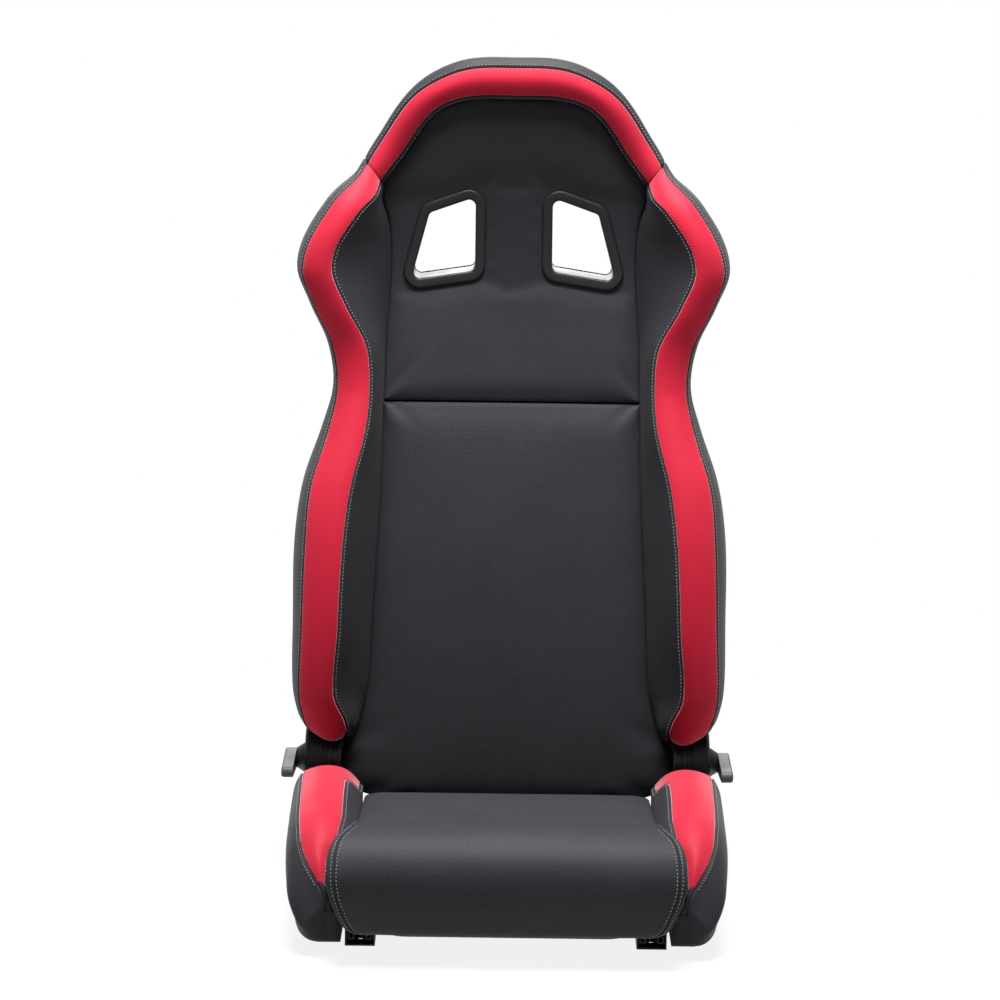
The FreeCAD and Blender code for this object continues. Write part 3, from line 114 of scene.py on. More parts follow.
# Its inner face beside the sitting surface
BOLSTER_INNER_X = 172.8
# Inner face of its skirt, the height where that ends, the least X of the outer foot and the foot's height
SKIRT_X, SKIRT_TOP_Z, FOOT_X, FOOT_Z = 226.0, 80.0, 226.5, 13
# Ahead of this place the bolster is a nose beside the front roll, with its own inner faces and foot
NOSE_REAR_Y = -161
NOSE_INNER_X = 202
NOSE_SKIRT_X, NOSE_SKIRT_TOP_Z, NOSE_FOOT_X = 185.5, 50.0, 205.0
# Where the bolster's valley lies beside the roll's shoulder: Y and X
BESIDE_ROLL = ((-203, 202), (-190, 198.5), (-180, 190.5), (-165, 183), (-150, BOLSTER_INNER_X))
# Where the band's outer seam starts to bend in, the tip that it bends towards, and where the colour ends
BAND_BEND_Y = -198
BAND_TIP_Y = -233
BAND_END_Y = -225
# Section of the front roll: Y and Z, from its rear foot over the crest to the underside
ROLL_SECTION = (
    (-163, 64), (-163, 136), (-184, 143), (-206, 144), (-246, 131), (-270, 106),
    (-275, 80), (-268, 48), (-252, 30), (-236, 32), (-200, 54),
)
ROLL_MIDDLE = (-215.0, 88.0)
# Steps over the roll's crest, and rows from one end cap to the other
ROLL_STEPS, ROLL_ROWS = 66, 56
# Where the roll's cloth can swell and where its cap is stitched: from the rear foot on, and up to it again
ROLL_FREE, ROLL_SEWN = (72, 90), (118, 92)
# Height and half width of the roll, and the half width of its rear between the bolsters
ROLL_OUTLINE = (
    (28, 160), (34, 176), (44, 184), (61, 191), (79, 197), (95, 200), (113, 200), (128, 198), (137, 193),
    (142, 184), (145, 175),
)
ROLL_REAR_HALF = 173
# Rows from the middle of an end to its rounded edge: lean of the edge in degrees, share of the way out
ROLL_END = ((90, 0.0), (90, 0.35), (90, 0.7), (90, 1.0), (72, 1.0), (54, 1.0), (36, 1.0), (18, 1.0))
# Radius of that edge, from there to the seam of the end cap, and from the cap to the rows between
ROLL_EDGE, CAP_SEAM, CAP_GAP = 4.0, 4.6, 4.0
# Rows beside that seam, and the share of its depth in each
CAP_ROWS = (
    (-4.5, 0.0), (-2.4, -0.12), (-1.2, 0.1), (-0.5, 0.6), (0.0, 1.0), (0.5, 0.6), (1.2, 0.1), (2.4, -0.12),
    (4.5, 0.0),
)
# Sitting surface: half width, front and rear in Y, heights of the foam there, and its underside
CUSHION_HALF = 172
CUSHION_FRONT, CUSHION_REAR = -162.0, 88.0
CUSHION_FRONT_Z, CUSHION_REAR_Z = 134, 106
CUSHION_BASE_Z, CUSHION_STEP_Z = 63.5, 10.0

# Where grid lines lie beside a seam, and the share of the seam's depth there
EDGE_STEPS = (0.0, 0.9, 2.0, 3.6, 6.5)
SEAM_SINK = (1.0, 0.5, 0.05, -0.14, 0.0)
# The most of a panel's width that those lines may take up on each side
EDGE_SHARE = 0.42
# Rows that close an end of a cover: how large each is, then how far its rounded edge has turned, in degrees
END_SCALES = (0.0, 0.3, 0.6, 0.85)
END_TURNS = (0, 22, 45, 67)
# Turns of a pad's rounded rim, from its side to its face
RIM_TURNS = (90, 67, 45, 22, 0)
# Stitches, in metres: closest points of a path, how far round a stitch its direction is read, and its lift
PATH_STEP, STITCH_AIM, STITCH_LIFT = 0.0002, 0.0006, 0.0001
# What cuts a belt slot: its play round the sleeve, where it starts in Y, and its length
CUT_PLAY, CUT_START_Y, CUT_LENGTH = 0.2, 200.0, 350.0
# Finishes of a cover by the number in its faces, and of a piece of topstitching
# The third cover finish is black cloth darkened to paint the shade in a seam's groove
BLACK, RED, SEAM_SHADE = 0, 1, 2
COVER_FINISHES = ("black_knit", "red_cloth", "seam_fold")
THREAD_FINISHES = ("pale_thread", "red_thread")
PALE, COLOURED = 0, 1
# Panels round a bolster, and which ends of each carry a darker strip of painted seam shade. The last two are
# the cushion's.
BOLSTER_PANELS = (
    (BLACK, False, False), (BLACK, False, True), (RED, False, False), (BLACK, True, False),
    (BLACK, False, False), (BLACK, False, False), (BLACK, False, False),
)
# Threads before and after each of the band's two seams
BESIDE_BAND = (PALE, COLOURED, COLOURED, PALE)
SIDES = (("_right", 1), ("_left", -1))


def tint(name, description, default):
    return FloatVectorProperty(
        name=name, description=description, subtype="COLOR", size=3, min=0, max=1, default=default)


def measure(name, description, default, low, high, subtype="DISTANCE", unit="LENGTH"):
    return FloatProperty(
        name=name, description=description, subtype=subtype, unit=unit, default=default, min=low, max=high)


def wattage(name, description, default):
    return measure(name, description, default, 0, 1000, "POWER", "POWER")


def tilt(name, description, default, most):
    return measure(name, description, default, -most, most, "ANGLE", "ROTATION")


class SeatCloth(bpy.types.PropertyGroup):
    black: tint("Black cloth", "Colour of the black knit", (0.0188, 0.0188, 0.0218))
    red: tint("Coloured cloth", "Colour of the bands along the bolsters", (0.295, 0.0065, 0.020))
    pale_thread: tint("Pale thread", "Colour of the thread on the black cloth", (0.15, 0.145, 0.145))
    # The band's thread is its own red, made darker than the band to paint the shade in the stitch holes
    red_thread: tint("Coloured thread", "Colour of the thread on the bands", (0.22, 0.004, 0.010))
    weave: measure("Weave", "Distance from one yarn to the next", 0.0024, 0.0005, 0.01)
    stitch_pitch: measure("Stitch pitch", "Distance from one stitch to the next", 0.0043, 0.002, 0.02)
    stitch_length: measure("Stitch length", "Visible length of each stitch", 0.0025, 0.001, 0.02)
    thread_radius: measure("Thread radius", "Half the thickness of the thread", 0.0005, 0.0001, 0.002)
    seam_reach: measure("Topstitch distance", "From a seam to the stitches beside it", 0.0036, 0.001, 0.02)


class SeatPadding(bpy.types.PropertyGroup):
    pressure: measure("Foam pressure", "How hard the foam pushes its cover out", 3.0, 0, 20, "NONE", "NONE")
    swell: measure("Largest swell", "The furthest that a cover may move outwards", 0.004, 0, 0.03)
    frames: IntProperty(
        name="Steps", description="Steps of the cloth simulation", default=18, min=2, max=60)
    seam_depth: measure("Seam depth", "How deep a seam lies below the cloth beside it", 0.0017, 0, 0.01)
    skin: measure("Cover thickness", "Thickness of the padded back cover", 0.0042, 0.0005, 0.01)


class SeatStudio(bpy.types.PropertyGroup):
    distance: measure("Camera distance", "From the camera to the seat's origin", 4.0, 1, 20)
    height: measure("Camera height", "Height of the camera above the floor", 1.15, 0, 5)
    pitch: tilt("Camera pitch", "How far the camera looks down", math.radians(9.5), 1.5)
    roll: tilt("Camera roll", "How far the camera leans to one side", math.radians(0.75), 0.5)
    aside: measure("Camera offset", "How far the camera stands to the side", -0.013, -1, 1)
    lens: measure("Focal length", "Focal length of the camera", 125.5, 20, 400, "DISTANCE_CAMERA", "CAMERA")
    overhead: wattage("Overhead lamp", "Power of the large lamp above the seat", 325.0)
    fill: wattage("Front lamp", "Power of the lamp beside the camera", 2.5)
    rear: wattage("Rear lamp", "Power of the lamp behind the seat", 34.0)
    sky: measure("Room light", "Strength of the even light from all round", 0.05, 0, 2, "NONE", "NONE")


# ---------------------------------------------------------------- curves and forms

def chain(points):
    """How far along a row of points each one lies."""
    places = [0.0]
    for before, after in zip(points, points[1:]):
        places.append(places[-1] + (after - before).length)
    return places


def flow(places, values, where):
    """Smooth value between the values given at some places. Vectors work as numbers do."""
    last = len(places) - 1
    index = 0
    while index < last - 1 and places[index + 1] < where:
        index += 1
    before = max(index - 1, 0)
    after = min(index + 2, last)
    span = places[index + 1] - places[index]
    share = (where - places[index]) / span
    slope_in = (values[index + 1] - values[before]) / (places[index + 1] - places[before]) * span
    slope_out = (values[after] - values[index]) / (places[after] - places[index]) * span
    square, cube = share * share, share * share * share
    start = values[index] * (2 * cube - 3 * square + 1) + slope_in * (cube - 2 * square + share)
    return start + values[index + 1] * (3 * square - 2 * cube) + slope_out * (cube - square)


def reading(table, where, column):
    return flow([row[0] for row in table], [float(row[column]) for row in table], where)


def front_y(z):
    return reading(BACK_PROFILE, z, 1)


def foam_y(z):
    return front_y(z) + reading(BACK_DEPTHS, z, 1)


def rear_y(z):
    return front_y(z) + reading(BACK_DEPTHS, z, 2)


def ramp(value, low, high):
    """0 below low, 1 above high and smooth between."""
    share = min(1.0, max(0.0, (value - low) / (high - low)))
    return share * share * (3 - 2 * share)


def outward(station, distance):
    angle = math.radians(station[2])
    return Vector((station[0] + math.cos(angle) * distance, station[1] + math.sin(angle) * distance))


def mirrored_station(station):
    return (-station[0], station[1], 180 - station[2]) + tuple(station[3:])


# ---------------------------------------------------------------- meshes and objects

def mesh_from(bm, name):
    """The form as a mesh of its own. Frees the form."""
    mesh = bpy.data.meshes.new(name)
    bm.to_mesh(mesh)
    bm.free()
    return mesh


def put_in_scene(name, data):
    made = bpy.data.objects.new(name, data)
    bpy.context.scene.collection.objects.link(made)
    return made


def discard(made):
    mesh = made.data
    bpy.data.objects.remove(made)
    bpy.data.meshes.remove(mesh)


# ---------------------------------------------------------------- finishes

def add_node(tree, kind, sockets, **settings):
    node = tree.nodes.new(kind)
    for key, value in settings.items():
        setattr(node, key, value)
    for key, value in sockets.items():
        if isinstance(value, bpy.types.NodeSocket):
            tree.links.new(value, node.inputs[key])
        else:
            node.inputs[key].default_value = value
    return node


def new_finish(name, **sockets):
    """A material with its shader's constant sockets set."""
    material = bpy.data.materials.new(name)
    material.use_nodes = True
    shader = material.node_tree.nodes["Principled BSDF"]
    for key, value in sockets.items():
        shader.inputs[key.replace("_", " ")].default_value = value
    return material, material.node_tree, shader


def noise(tree, vector, scale, detail=2.0, roughness=0.5):
    made = add_node(tree, "ShaderNodeTexNoise", {
        "Vector": vector, "Scale": scale, "Detail": detail, "Roughness": roughness})
    return made.outputs["Fac"]


def arithmetic(tree, operation, first, second):
    return add_node(tree, "ShaderNodeMath", {0: first, 1: second}, operation=operation).outputs[0]


def stretch(tree, value, low, high, to_low, to_high):
    made = add_node(tree, "ShaderNodeMapRange", {0: value, 1: low, 2: high, 3: to_low, 4: to_high})
    return made.outputs[0]


def own_place(tree):
    return add_node(tree, "ShaderNodeTexCoord", {}).outputs["Object"]


def raise_surface(tree, shader, height, strength, relief):
    bump = add_node(tree, "ShaderNodeBump", {"Height": height, "Strength": strength, "Distance": relief})
    tree.links.new(bump.outputs["Normal"], shader.inputs["Normal"])


def vary_colour(tree, shader, factor, colour, spread):
    """Makes a surface darker and lighter than a colour by a share."""
    dark = [channel * (1 - spread) for channel in colour]
    light = [min(1.0, channel * (1 + spread)) for channel in colour]
    mix = add_node(tree, "ShaderNodeMix", {0: factor, 6: (*dark, 1), 7: (*light, 1)}, data_type="RGBA")
    tree.links.new(mix.outputs[2], shader.inputs["Base Color"])


def vary_gloss(tree, shader, factor, smoothest, roughest):
    tree.links.new(stretch(tree, factor, 0.3, 0.7, smoothest, roughest), shader.inputs["Roughness"])


def knit_finish(name, colour, spread, weave, relief, **sockets):
    """Knitted cloth: crossing yarns that follow the piece's own cloth map, with a fine uneven grain."""
    material, tree, shader = new_finish(name, **sockets)
    cloth = add_node(tree, "ShaderNodeUVMap", {}, uv_map="cloth").outputs["UV"]
    place = own_place(tree)
    bands = math.tau / 20 / weave
    yarns = []
    for direction in ("X", "Y"):
        wave = add_node(tree, "ShaderNodeTexWave", {
            "Vector": cloth, "Scale": bands, "Distortion": 3.5, "Detail": 2.0, "Detail Scale": 2.5,
        }, bands_direction=direction)
        yarns.append(wave.outputs["Fac"])
    crossed = arithmetic(tree, "MULTIPLY", arithmetic(tree, "MULTIPLY", yarns[0], yarns[1]), 0.35)
    grain = noise(tree, place, 520.0, 3.0, 0.7)
    lifted = arithmetic(tree, "MULTIPLY", grain, 1.3)
    height = arithmetic(tree, "ADD", crossed, lifted)
    raise_surface(tree, shader, height, 0.6, relief)
    patches = noise(tree, place, 14.0, 3.0)
    worn = arithmetic(tree, "MULTIPLY", patches, 0.35)
    amount = arithmetic(tree, "ADD", stretch(tree, height, 0.2, 1.4, 0.0, 0.8), worn)
    vary_colour(tree, shader, amount, colour, spread)
    vary_gloss(tree, shader, grain, sockets["Roughness"] - 0.07, sockets["Roughness"] + 0.07)
    return material


def grained_finish(name, colour, scale, relief, spread, **sockets):
    """Moulded or coated surface: a fine grain in its height, colour and gloss."""
    material, tree, shader = new_finish(name, **sockets)
    place = own_place(tree)
    grain = noise(tree, place, scale, 3.0, 0.6)
    broad = noise(tree, place, 22.0, 3.0, 0.55)
    raise_surface(tree, shader, grain, 0.5, relief)
    vary_colour(tree, shader, broad, colour, spread)
    vary_gloss(tree, shader, broad, sockets["Roughness"] - 0.06, sockets["Roughness"] + 0.08)
    return material


def plated_finish(name, colour, spread, scale, **sockets):
    """Bare or plated metal: crystal patches in its colour and gloss and fine drawing marks."""
    material, tree, shader = new_finish(name, Metallic=1.0, **sockets)
    place = own_place(tree)
    cells = add_node(tree, "ShaderNodeTexVoronoi", {"Vector": place, "Scale": scale})
    patches = noise(tree, place, scale * 0.2, 4.0, 0.6)
    amount = arithmetic(tree, "MULTIPLY", cells.outputs["Distance"], patches)
    vary_colour(tree, shader, amount, colour, spread)
    vary_gloss(tree, shader, patches, sockets["Roughness"] - 0.08, sockets["Roughness"] + 0.1)
    raise_surface(tree, shader, noise(tree, place, 420.0, 2.0), 0.25, 0.0002)
    return material


def finish(name):
    """The seat's materials, each made when it is first needed."""
    if name in bpy.data.materials:
        return bpy.data.materials[name]
    cloth = bpy.context.scene.seat_cloth
    make, colour, settings = {
        "black_knit": (knit_finish, cloth.black, dict(
            spread=0.45, weave=cloth.weave, relief=0.0004, Roughness=0.48, Sheen_Weight=0.02,
            Sheen_Roughness=0.4, Specular_IOR_Level=0.05)),
        "red_cloth": (knit_finish, cloth.red, dict(
            spread=0.10, weave=cloth.weave * 0.7, relief=0.00016, Roughness=0.50, Sheen_Weight=0.42,
            Sheen_Roughness=0.4, Sheen_Tint=(1.0, 0.86, 0.98, 1.0), Specular_IOR_Level=0.05)),
        # Painted shade: the black cloth at about a third of its colour, laid on the face columns beside some
        # seams
        "seam_fold": (knit_finish, [channel * 0.35 for channel in cloth.black], dict(
            spread=0.3, weave=cloth.weave, relief=0.0003, Roughness=0.93, Sheen_Weight=0.05,
            Specular_IOR_Level=0.1)),
        "pale_thread": (grained_finish, cloth.pale_thread, dict(
            scale=3000.0, relief=0.0001, spread=0.15, Roughness=0.7, Sheen_Weight=0.3)),
        # Darker than the band: the thread's own red plus painted shade of its stitch holes
        "red_thread": (grained_finish, cloth.red_thread, dict(
            scale=3000.0, relief=0.0001, spread=0.15, Roughness=0.65, Sheen_Weight=0.1)),
        "moulded_black": (grained_finish, (0.011, 0.011, 0.012), dict(
            scale=900.0, relief=0.00012, spread=0.18, Roughness=0.34, Specular_IOR_Level=0.14)),
        "lever_grey": (grained_finish, (0.050, 0.051, 0.054), dict(
            scale=700.0, relief=0.00006, spread=0.12, Roughness=0.42, Specular_IOR_Level=0.16)),
        "cage_nylon": (grained_finish, (0.55, 0.53, 0.46), dict(
            scale=600.0, relief=0.0001, spread=0.08, Roughness=0.5, Subsurface_Weight=0.05)),
        "powder_coat": (grained_finish, (0.007, 0.007, 0.0075), dict(
            scale=520.0, relief=0.00016, spread=0.25, Roughness=0.42, Specular_IOR_Level=0.22)),
        "zinc_plate": (plated_finish, (0.56, 0.57, 0.58), dict(spread=0.16, scale=160.0, Roughness=0.38)),
        "ground_steel": (plated_finish, (0.63, 0.62, 0.60), dict(spread=0.08, scale=260.0, Roughness=0.22)),
        "oiled_spring": (plated_finish, (0.13, 0.13, 0.14), dict(spread=0.30, scale=200.0, Roughness=0.40)),
    }[name]
    return make(name, list(colour), **settings)


SLOT_FINISHES = {
    "black_fabric": "black_knit", "red_fabric": "red_cloth", "black_plastic": "moulded_black",
    "lever_plastic": "lever_grey", "cage_plastic": "cage_nylon", "black_steel": "powder_coat",
    "zinc_steel": "zinc_plate", "bright_steel": "ground_steel", "spring_steel": "oiled_spring",
}


# ---------------------------------------------------------------- sewn covers

def panel(curve, start, end, count, sinks, bulge, held=False):
    """One cloth panel of a section, from seam to seam. Each step: point, sink, held and distance across."""
    length = end - start
    near = [step * min(1.0, EDGE_SHARE * length / EDGE_STEPS[-1]) for step in EDGE_STEPS]
    steps = near + [near[-1] + (length - 2 * near[-1]) * step / count for step in range(1, count)]
    steps += [length - step for step in reversed(near)]
    made = []
    for index, step in enumerate(steps):
        from_end = len(steps) - 1 - index
        sink = -bulge * math.sin(math.pi * step / length)
        if index < len(near):
            sink += sinks[0] * SEAM_SINK[index]
        if from_end < len(near):
            sink += sinks[1] * SEAM_SINK[from_end]
        pinned = held or min(index, from_end) < 2
        made.append((curve(start + step), sink, float(pinned), start + step))
    return made


def straight(start, end):
    """A straight run as a curve over its length."""
    run = (end - start).length
    return (lambda place: start.lerp(end, place / run)), run


def joined(panels):
    """One row round a cover from its panels, which share their end points."""
    row = list(panels[0])
    for part in panels[1:]:
        row += part[1:]
    return row


def columns_of(panels):
    """Finish of each face column round a bolster."""
    made = []
    for part, (chosen, shaded_first, shaded_last) in zip(panels, BOLSTER_PANELS):
        faces = [chosen] * (len(part) - 1)
        # An end column beside a seam gets the painted seam shade
        if shaded_first:
            faces[0] = SEAM_SHADE
        if shaded_last:
            faces[-1] = SEAM_SHADE
        made += faces
    return made


def drawn_in(row, inset, scale, beside=0):
    """A row pulled towards its middle, or towards the middle of its first panel, for a cover's closed end."""
    made = []
    if beside:
        centre = (row[0][0] + row[beside][0]) / 2
        furthest = max((spot[0] - centre).length for spot in row)
        for point, sink, _, across in row:
            pulled = (point - centre) * (1 - inset / furthest) * scale
            made.append((centre + pulled, sink * scale, 1.0, across))
        return made
    centre = sum((spot[0] for spot in row), Vector((0, 0, 0))) / len(row)
    for point, sink, _, across in row:
        arm = point - centre
        reach = max(0.0, arm.length - inset) * scale
        made.append((centre + arm.normalized() * reach, sink * scale, 1.0, across))
    return made


def ended_rows(row_at, start, end, pitch, start_round, end_round, beside=0):
    """Rows from end to end of a cover that is closed and rounded over at both ends, with their places."""
    ends = []
    for sign, origin, round_over in ((1, start, start_round), (-1, end, end_round)):
        kept = beside if sign > 0 else 0
        part = []
        for scale in END_SCALES:
            part.append((origin, drawn_in(row_at(origin), round_over, scale, kept)))
        for turn in END_TURNS:
            lean = math.radians(turn)
            place = origin + sign * round_over * (1 - math.cos(lean))
            part.append((place, drawn_in(row_at(place), round_over * (1 - math.sin(lean)), 1.0, kept)))
        ends.append(part)
    low, high = start + start_round, end - end_round
    count = max(2, round((high - low) / pitch))
    places = [low + (high - low) * step / count for step in range(count + 1)]
    body = [(place, row_at(place)) for place in places]
    return ends[0] + body + list(reversed(ends[1]))


def cover_mesh(rows, places, columns):
    """Closed cloth cover from rows of section points. columns gives each face column's finish."""
    across, along = len(rows[0]) - 1, len(rows) - 1
    bm = bmesh.new()
    sink = bm.verts.layers.float.new("sink")
    held = bm.verts.layers.float.new("held")
    cloth = bm.loops.layers.uv.new("cloth")
    grid = bmesh.ops.create_grid(bm, x_segments=across, y_segments=along, size=0.5)["verts"]
    spots = {}
    for vert in grid:
        column = round((vert.co.x + 0.5) * across)
        row = round((vert.co.y + 0.5) * along)
        point, depth, pinned, distance = rows[row][column]
        spots[vert] = (column, row, distance * MM, places[row] * MM)
        vert.co = point * MM
        vert[sink] = depth * MM
        vert[held] = pinned
    for face in bm.faces:
        face.smooth = True
        column = min(spots[vert][0] for vert in face.verts)
        row = min(spots[vert][1] for vert in face.verts)
        chosen = columns[column]
        face.material_index = chosen[row] if isinstance(chosen, (list, tuple)) else chosen
        for loop in face.loops:
            loop[cloth].uv = spots[loop.vert][2:]
    return bm


def close(bm):
    """Joins the edges of a cover that lie on each other."""
    bmesh.ops.remove_doubles(bm, verts=bm.verts, dist=3e-6)
    bmesh.ops.dissolve_degenerate(bm, dist=1e-6, edges=bm.edges)
    bmesh.ops.recalc_face_normals(bm, faces=bm.faces)


def swell_cover(bm, limit_share=1.0):
    """Lets the foam push a cover out against its seams by a cloth simulation, then sinks the seams."""
    padding = bpy.context.scene.seat_padding
    sink = bm.verts.layers.float["sink"]
    held = bm.verts.layers.float["held"]
    rest = [vert.co.copy() for vert in bm.verts]
    mesh = bpy.data.meshes.new("foam_under_cover")
    bm.to_mesh(mesh)
    body = put_in_scene("foam_under_cover", mesh)
    pins = body.vertex_groups.new(name="held")
    pins.add([vert.index for vert in bm.verts if vert[held] > 0.5], 1.0, "REPLACE")
    cloth = body.modifiers.new("Cloth", "CLOTH")
    settings = cloth.settings
    settings.quality = 4
    settings.mass = 0.2
    settings.tension_stiffness = settings.compression_stiffness = 12
    settings.shear_stiffness = 6
    settings.bending_stiffness = 2
    settings.use_pressure = True
    settings.uniform_pressure_force = padding.pressure
    settings.effector_weights.gravity = 0
    settings.vertex_group_mass = pins.name
    cloth.collision_settings.use_collision = False
    cloth.point_cache.frame_start = 1
    cloth.point_cache.frame_end = padding.frames
    for step in range(1, padding.frames + 1):
        bpy.context.scene.frame_set(step)
    pushed = body.evaluated_get(bpy.context.evaluated_depsgraph_get())
    moved = [vert.co.copy() for vert in pushed.data.vertices]
    limit = padding.swell * limit_share
    for vert, start, goal in zip(bm.verts, rest, moved):
        step = goal - start
        if step.length > 1e-9:
            vert.co = start + step.normalized() * limit * math.tanh(step.length / limit)
    discard(body)
    bpy.context.scene.frame_set(1)
    bm.normal_update()
    for vert in bm.verts:
        vert.co = vert.co - vert.normal * vert[sink]
    bm.normal_update()


def mirror_image(bm):
    """The same mesh for the other side of the seat."""
    other = bm.copy()
    bmesh.ops.scale(other, vec=(-1, 1, 1), verts=other.verts)
    bmesh.ops.recalc_face_normals(other, faces=other.faces)
    return other


def as_piece(bm, name, body, finishes, nodes=(), levels=1):
    """Turns a mesh into a piece of the seat that rides on a body and may stand for nodes."""
    piece = put_in_scene(name, mesh_from(bm, name))
    for chosen in finishes:
        piece.data.materials.append(finish(chosen))
    if levels:
        smooth = piece.modifiers.new("Smooth cloth", "SUBSURF")
        smooth.levels = smooth.render_levels = levels
    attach(piece, body)
    if nodes:
        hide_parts(*nodes)
    return piece


def fix_shape(piece):
    """Makes a piece's modifiers part of its mesh."""
    shown = piece.evaluated_get(bpy.context.evaluated_depsgraph_get())
    baked = bpy.data.meshes.new_from_object(shown)
    former = piece.data
    piece.modifiers.clear()
    piece.data = baked
    bpy.data.meshes.remove(former)
    baked.name = piece.name


# ---------------------------------------------------------------- stitches

def stitch_mesh():
    """One stitch: a short round thread with its ends in the cloth."""
    cloth = bpy.context.scene.seat_cloth
    size = (cloth.stitch_length / 2, cloth.thread_radius, cloth.thread_radius)
    bm = bmesh.new()
    bmesh.ops.create_icosphere(bm, subdivisions=1, radius=1.0)
    bmesh.ops.scale(bm, vec=size, verts=bm.verts)
    for face in bm.faces:
        face.smooth = True
    return mesh_from(bm, "stitch")


def sew(threads, stitch, surface, path, colour):
    """Lays stitches along a path, in millimetres, on a cover's surface."""
    pitch = bpy.context.scene.seat_cloth.stitch_pitch
    spots = [surface.find_nearest(point * MM)[0] for point in path]
    kept = [spots[0]]
    for spot in spots[1:]:
        if (spot - kept[-1]).length > PATH_STEP:
            kept.append(spot)
    places = chain(kept)
    for step in range(int(places[-1] / pitch)):
        where = (step + 0.5) * pitch
        spot, normal = surface.find_nearest(flow(places, kept, where))[:2]
        after, before = min(places[-1], where + STITCH_AIM), where - STITCH_AIM
        ahead = flow(places, kept, after) - flow(places, kept, before)
        ahead = (ahead - normal * ahead.dot(normal)).normalized()
        aside = normal.cross(ahead)
        turn = Matrix((ahead, aside, normal)).transposed().to_4x4()
        laid = stitch.copy()
        laid.transform(Matrix.Translation(spot + normal * STITCH_LIFT) @ turn)
        first = len(threads.faces)
        threads.from_mesh(laid)
        bpy.data.meshes.remove(laid)
        threads.faces.ensure_lookup_table()
        for face in threads.faces[first:]:
            face.material_index = colour


def seam_paths(rows, seams, reach):
    """Paths beside each seam: for each seam column, the points that far before and after it in every row."""
    paths = []
    for seam in seams:
        for side in (-1, 1):
            path = []
            for row in rows:
                target = row[seam][3] + side * reach
                index = seam
                while 0 < index < len(row) - 1 and (row[index][3] - target) * side < 0:
                    index += side
                low, high = row[index - side], row[index]
                span = high[3] - low[3]
                share = (target - low[3]) / span if abs(span) > 1e-6 else 0.0
                path.append(low[0].lerp(high[0], max(0.0, min(1.0, share))))
            paths.append(path)
    return paths


def sewn_threads(surface, paths, colours, name, body, sides=(("", 1),)):
    """Topstitching along paths on a cover, as one piece for each side. colours gives each path's thread."""
    stitch = stitch_mesh()
    threads = bmesh.new()
    for path, colour in zip(paths, colours):
        sew(threads, stitch, surface, path, colour)
    bpy.data.meshes.remove(stitch)
    for side, sign in sides:
        as_piece(threads.copy() if sign > 0 else mirror_image(threads), name + side, body, THREAD_FINISHES,
                 levels=0)
    threads.free()


# ---------------------------------------------------------------- bolsters

def banded_cover(placed, panels, free, swell_share=1.0, dark_before=None):
    """Cover with a band, and paths of the stitches beside the band's seams, which keep to the free places."""
    places = [place for place, row in placed]
    columns = columns_of(panels)
    if dark_before is not None:
        band = [BLACK if place < dark_before else RED for place in places]
        columns = [band if chosen == RED else chosen for chosen in columns]
    bm = cover_mesh([row for place, row in placed], places, columns)
    close(bm)
    swell_cover(bm, swell_share)
    first = len(panels[0]) + len(panels[1]) - 2
    second = first + len(panels[2]) - 1
    body = [row for place, row in placed if free[0] < place < free[1]]
    reach = bpy.context.scene.seat_cloth.seam_reach / MM
    return bm, seam_paths(body, (first, second), reach)


def both_bolsters(bm, paths, name, body):
    """The bolsters of both sides and their topstitching, from the right one's cover."""
    sewn_threads(BVHTree.FromBMesh(bm), paths, BESIDE_BAND, name + "_stitches", body, SIDES)
    for (side, sign), made in zip(SIDES, (bm, mirror_image(bm))):
        as_piece(made, name + "_cover" + side, body, COVER_FINISHES, (name + side,))


def wing_table(stations):
    """Stations of a bolster, each after its place along the crest."""
    crest = [wing_corners(station)[3] for station in stations]
    return [(place,) + tuple(station) for place, station in zip(chain(crest), stations)]


def wing_corners(station):
    """Corners across a bolster: hidden edge, valley, band's seams and crest, side and outer hidden edge."""
    inner, outer, edge, rise = station[3:]

    # Point at a distance from the valley, at the depth that a function gives for its height
    def at(distance, depth):
        spot = outward(station, distance)
        return Vector((spot.x, depth(spot.y), spot.y))

    return [
        at(0, foam_y), at(0, front_y), at(inner, lambda z: front_y(z) - rise),
        at((inner + outer) / 2, lambda z: front_y(z) - rise - BAND_CROWN),
        at(outer, lambda z: front_y(z) - rise + BAND_DROP),
        at(edge, lambda z: front_y(z) * 0.6 + foam_y(z) * 0.4 - rise * 0.45), at(edge - EDGE_TUCK, foam_y),
    ]


def wing_panels(table, place):
    """Panels across a bolster of the backrest at a place along it."""
    depth = bpy.context.scene.seat_padding.seam_depth / MM
    corners = wing_corners([reading(table, place, column) for column in range(1, 8)])
    over = corners[1:]
    stops = chain(over)

    def curve(where):
        return flow(stops, over, where)

    hidden, hidden_run = straight(corners[0], corners[1])
    back, back_run = straight(corners[6], corners[0])
    return [
        panel(hidden, 0, hidden_run, 3, (0, 3.0), 0, held=True),
        panel(curve, 0, stops[1], 5, (3.0, depth), 1.2),
        panel(curve, stops[1], stops[3], 7, (depth, depth), 1.6),
        panel(curve, stops[3], stops[5], 12, (depth, 1.0), 0.8),
        panel(back, 0, back_run, 3, (1.0, 0), 0, held=True),
    ]


def over_recliner(point):
    """Raises the rear of a bolster's lower end over the recliner. Its front stays as it is."""
    foot, top = WING[0][1], WING[2][1]
    if point.z > top:
        return point
    raised = RECLINER_ROOM_Z + 1 + (point.z - foot) * (top - RECLINER_ROOM_Z - 1) / (top - foot)
    share = ramp(point.y, RECLINER_ROOM_Y - 18, RECLINER_ROOM_Y + 4)
    share *= ramp(point.x, RECLINER_ROOM_X - 5, RECLINER_ROOM_X + 2)
    tip = ramp(point.x, *TIP_INNER_X) * (1 - ramp(point.x, *TIP_OUTER_X)) * (1 - ramp(point.y, *TIP_REAR_Y))
    drop = TIP_DROP * tip * (1 - ramp(point.z, foot, top + 20))
    return Vector((point.x, point.y, point.z + (raised - point.z) * share - drop))


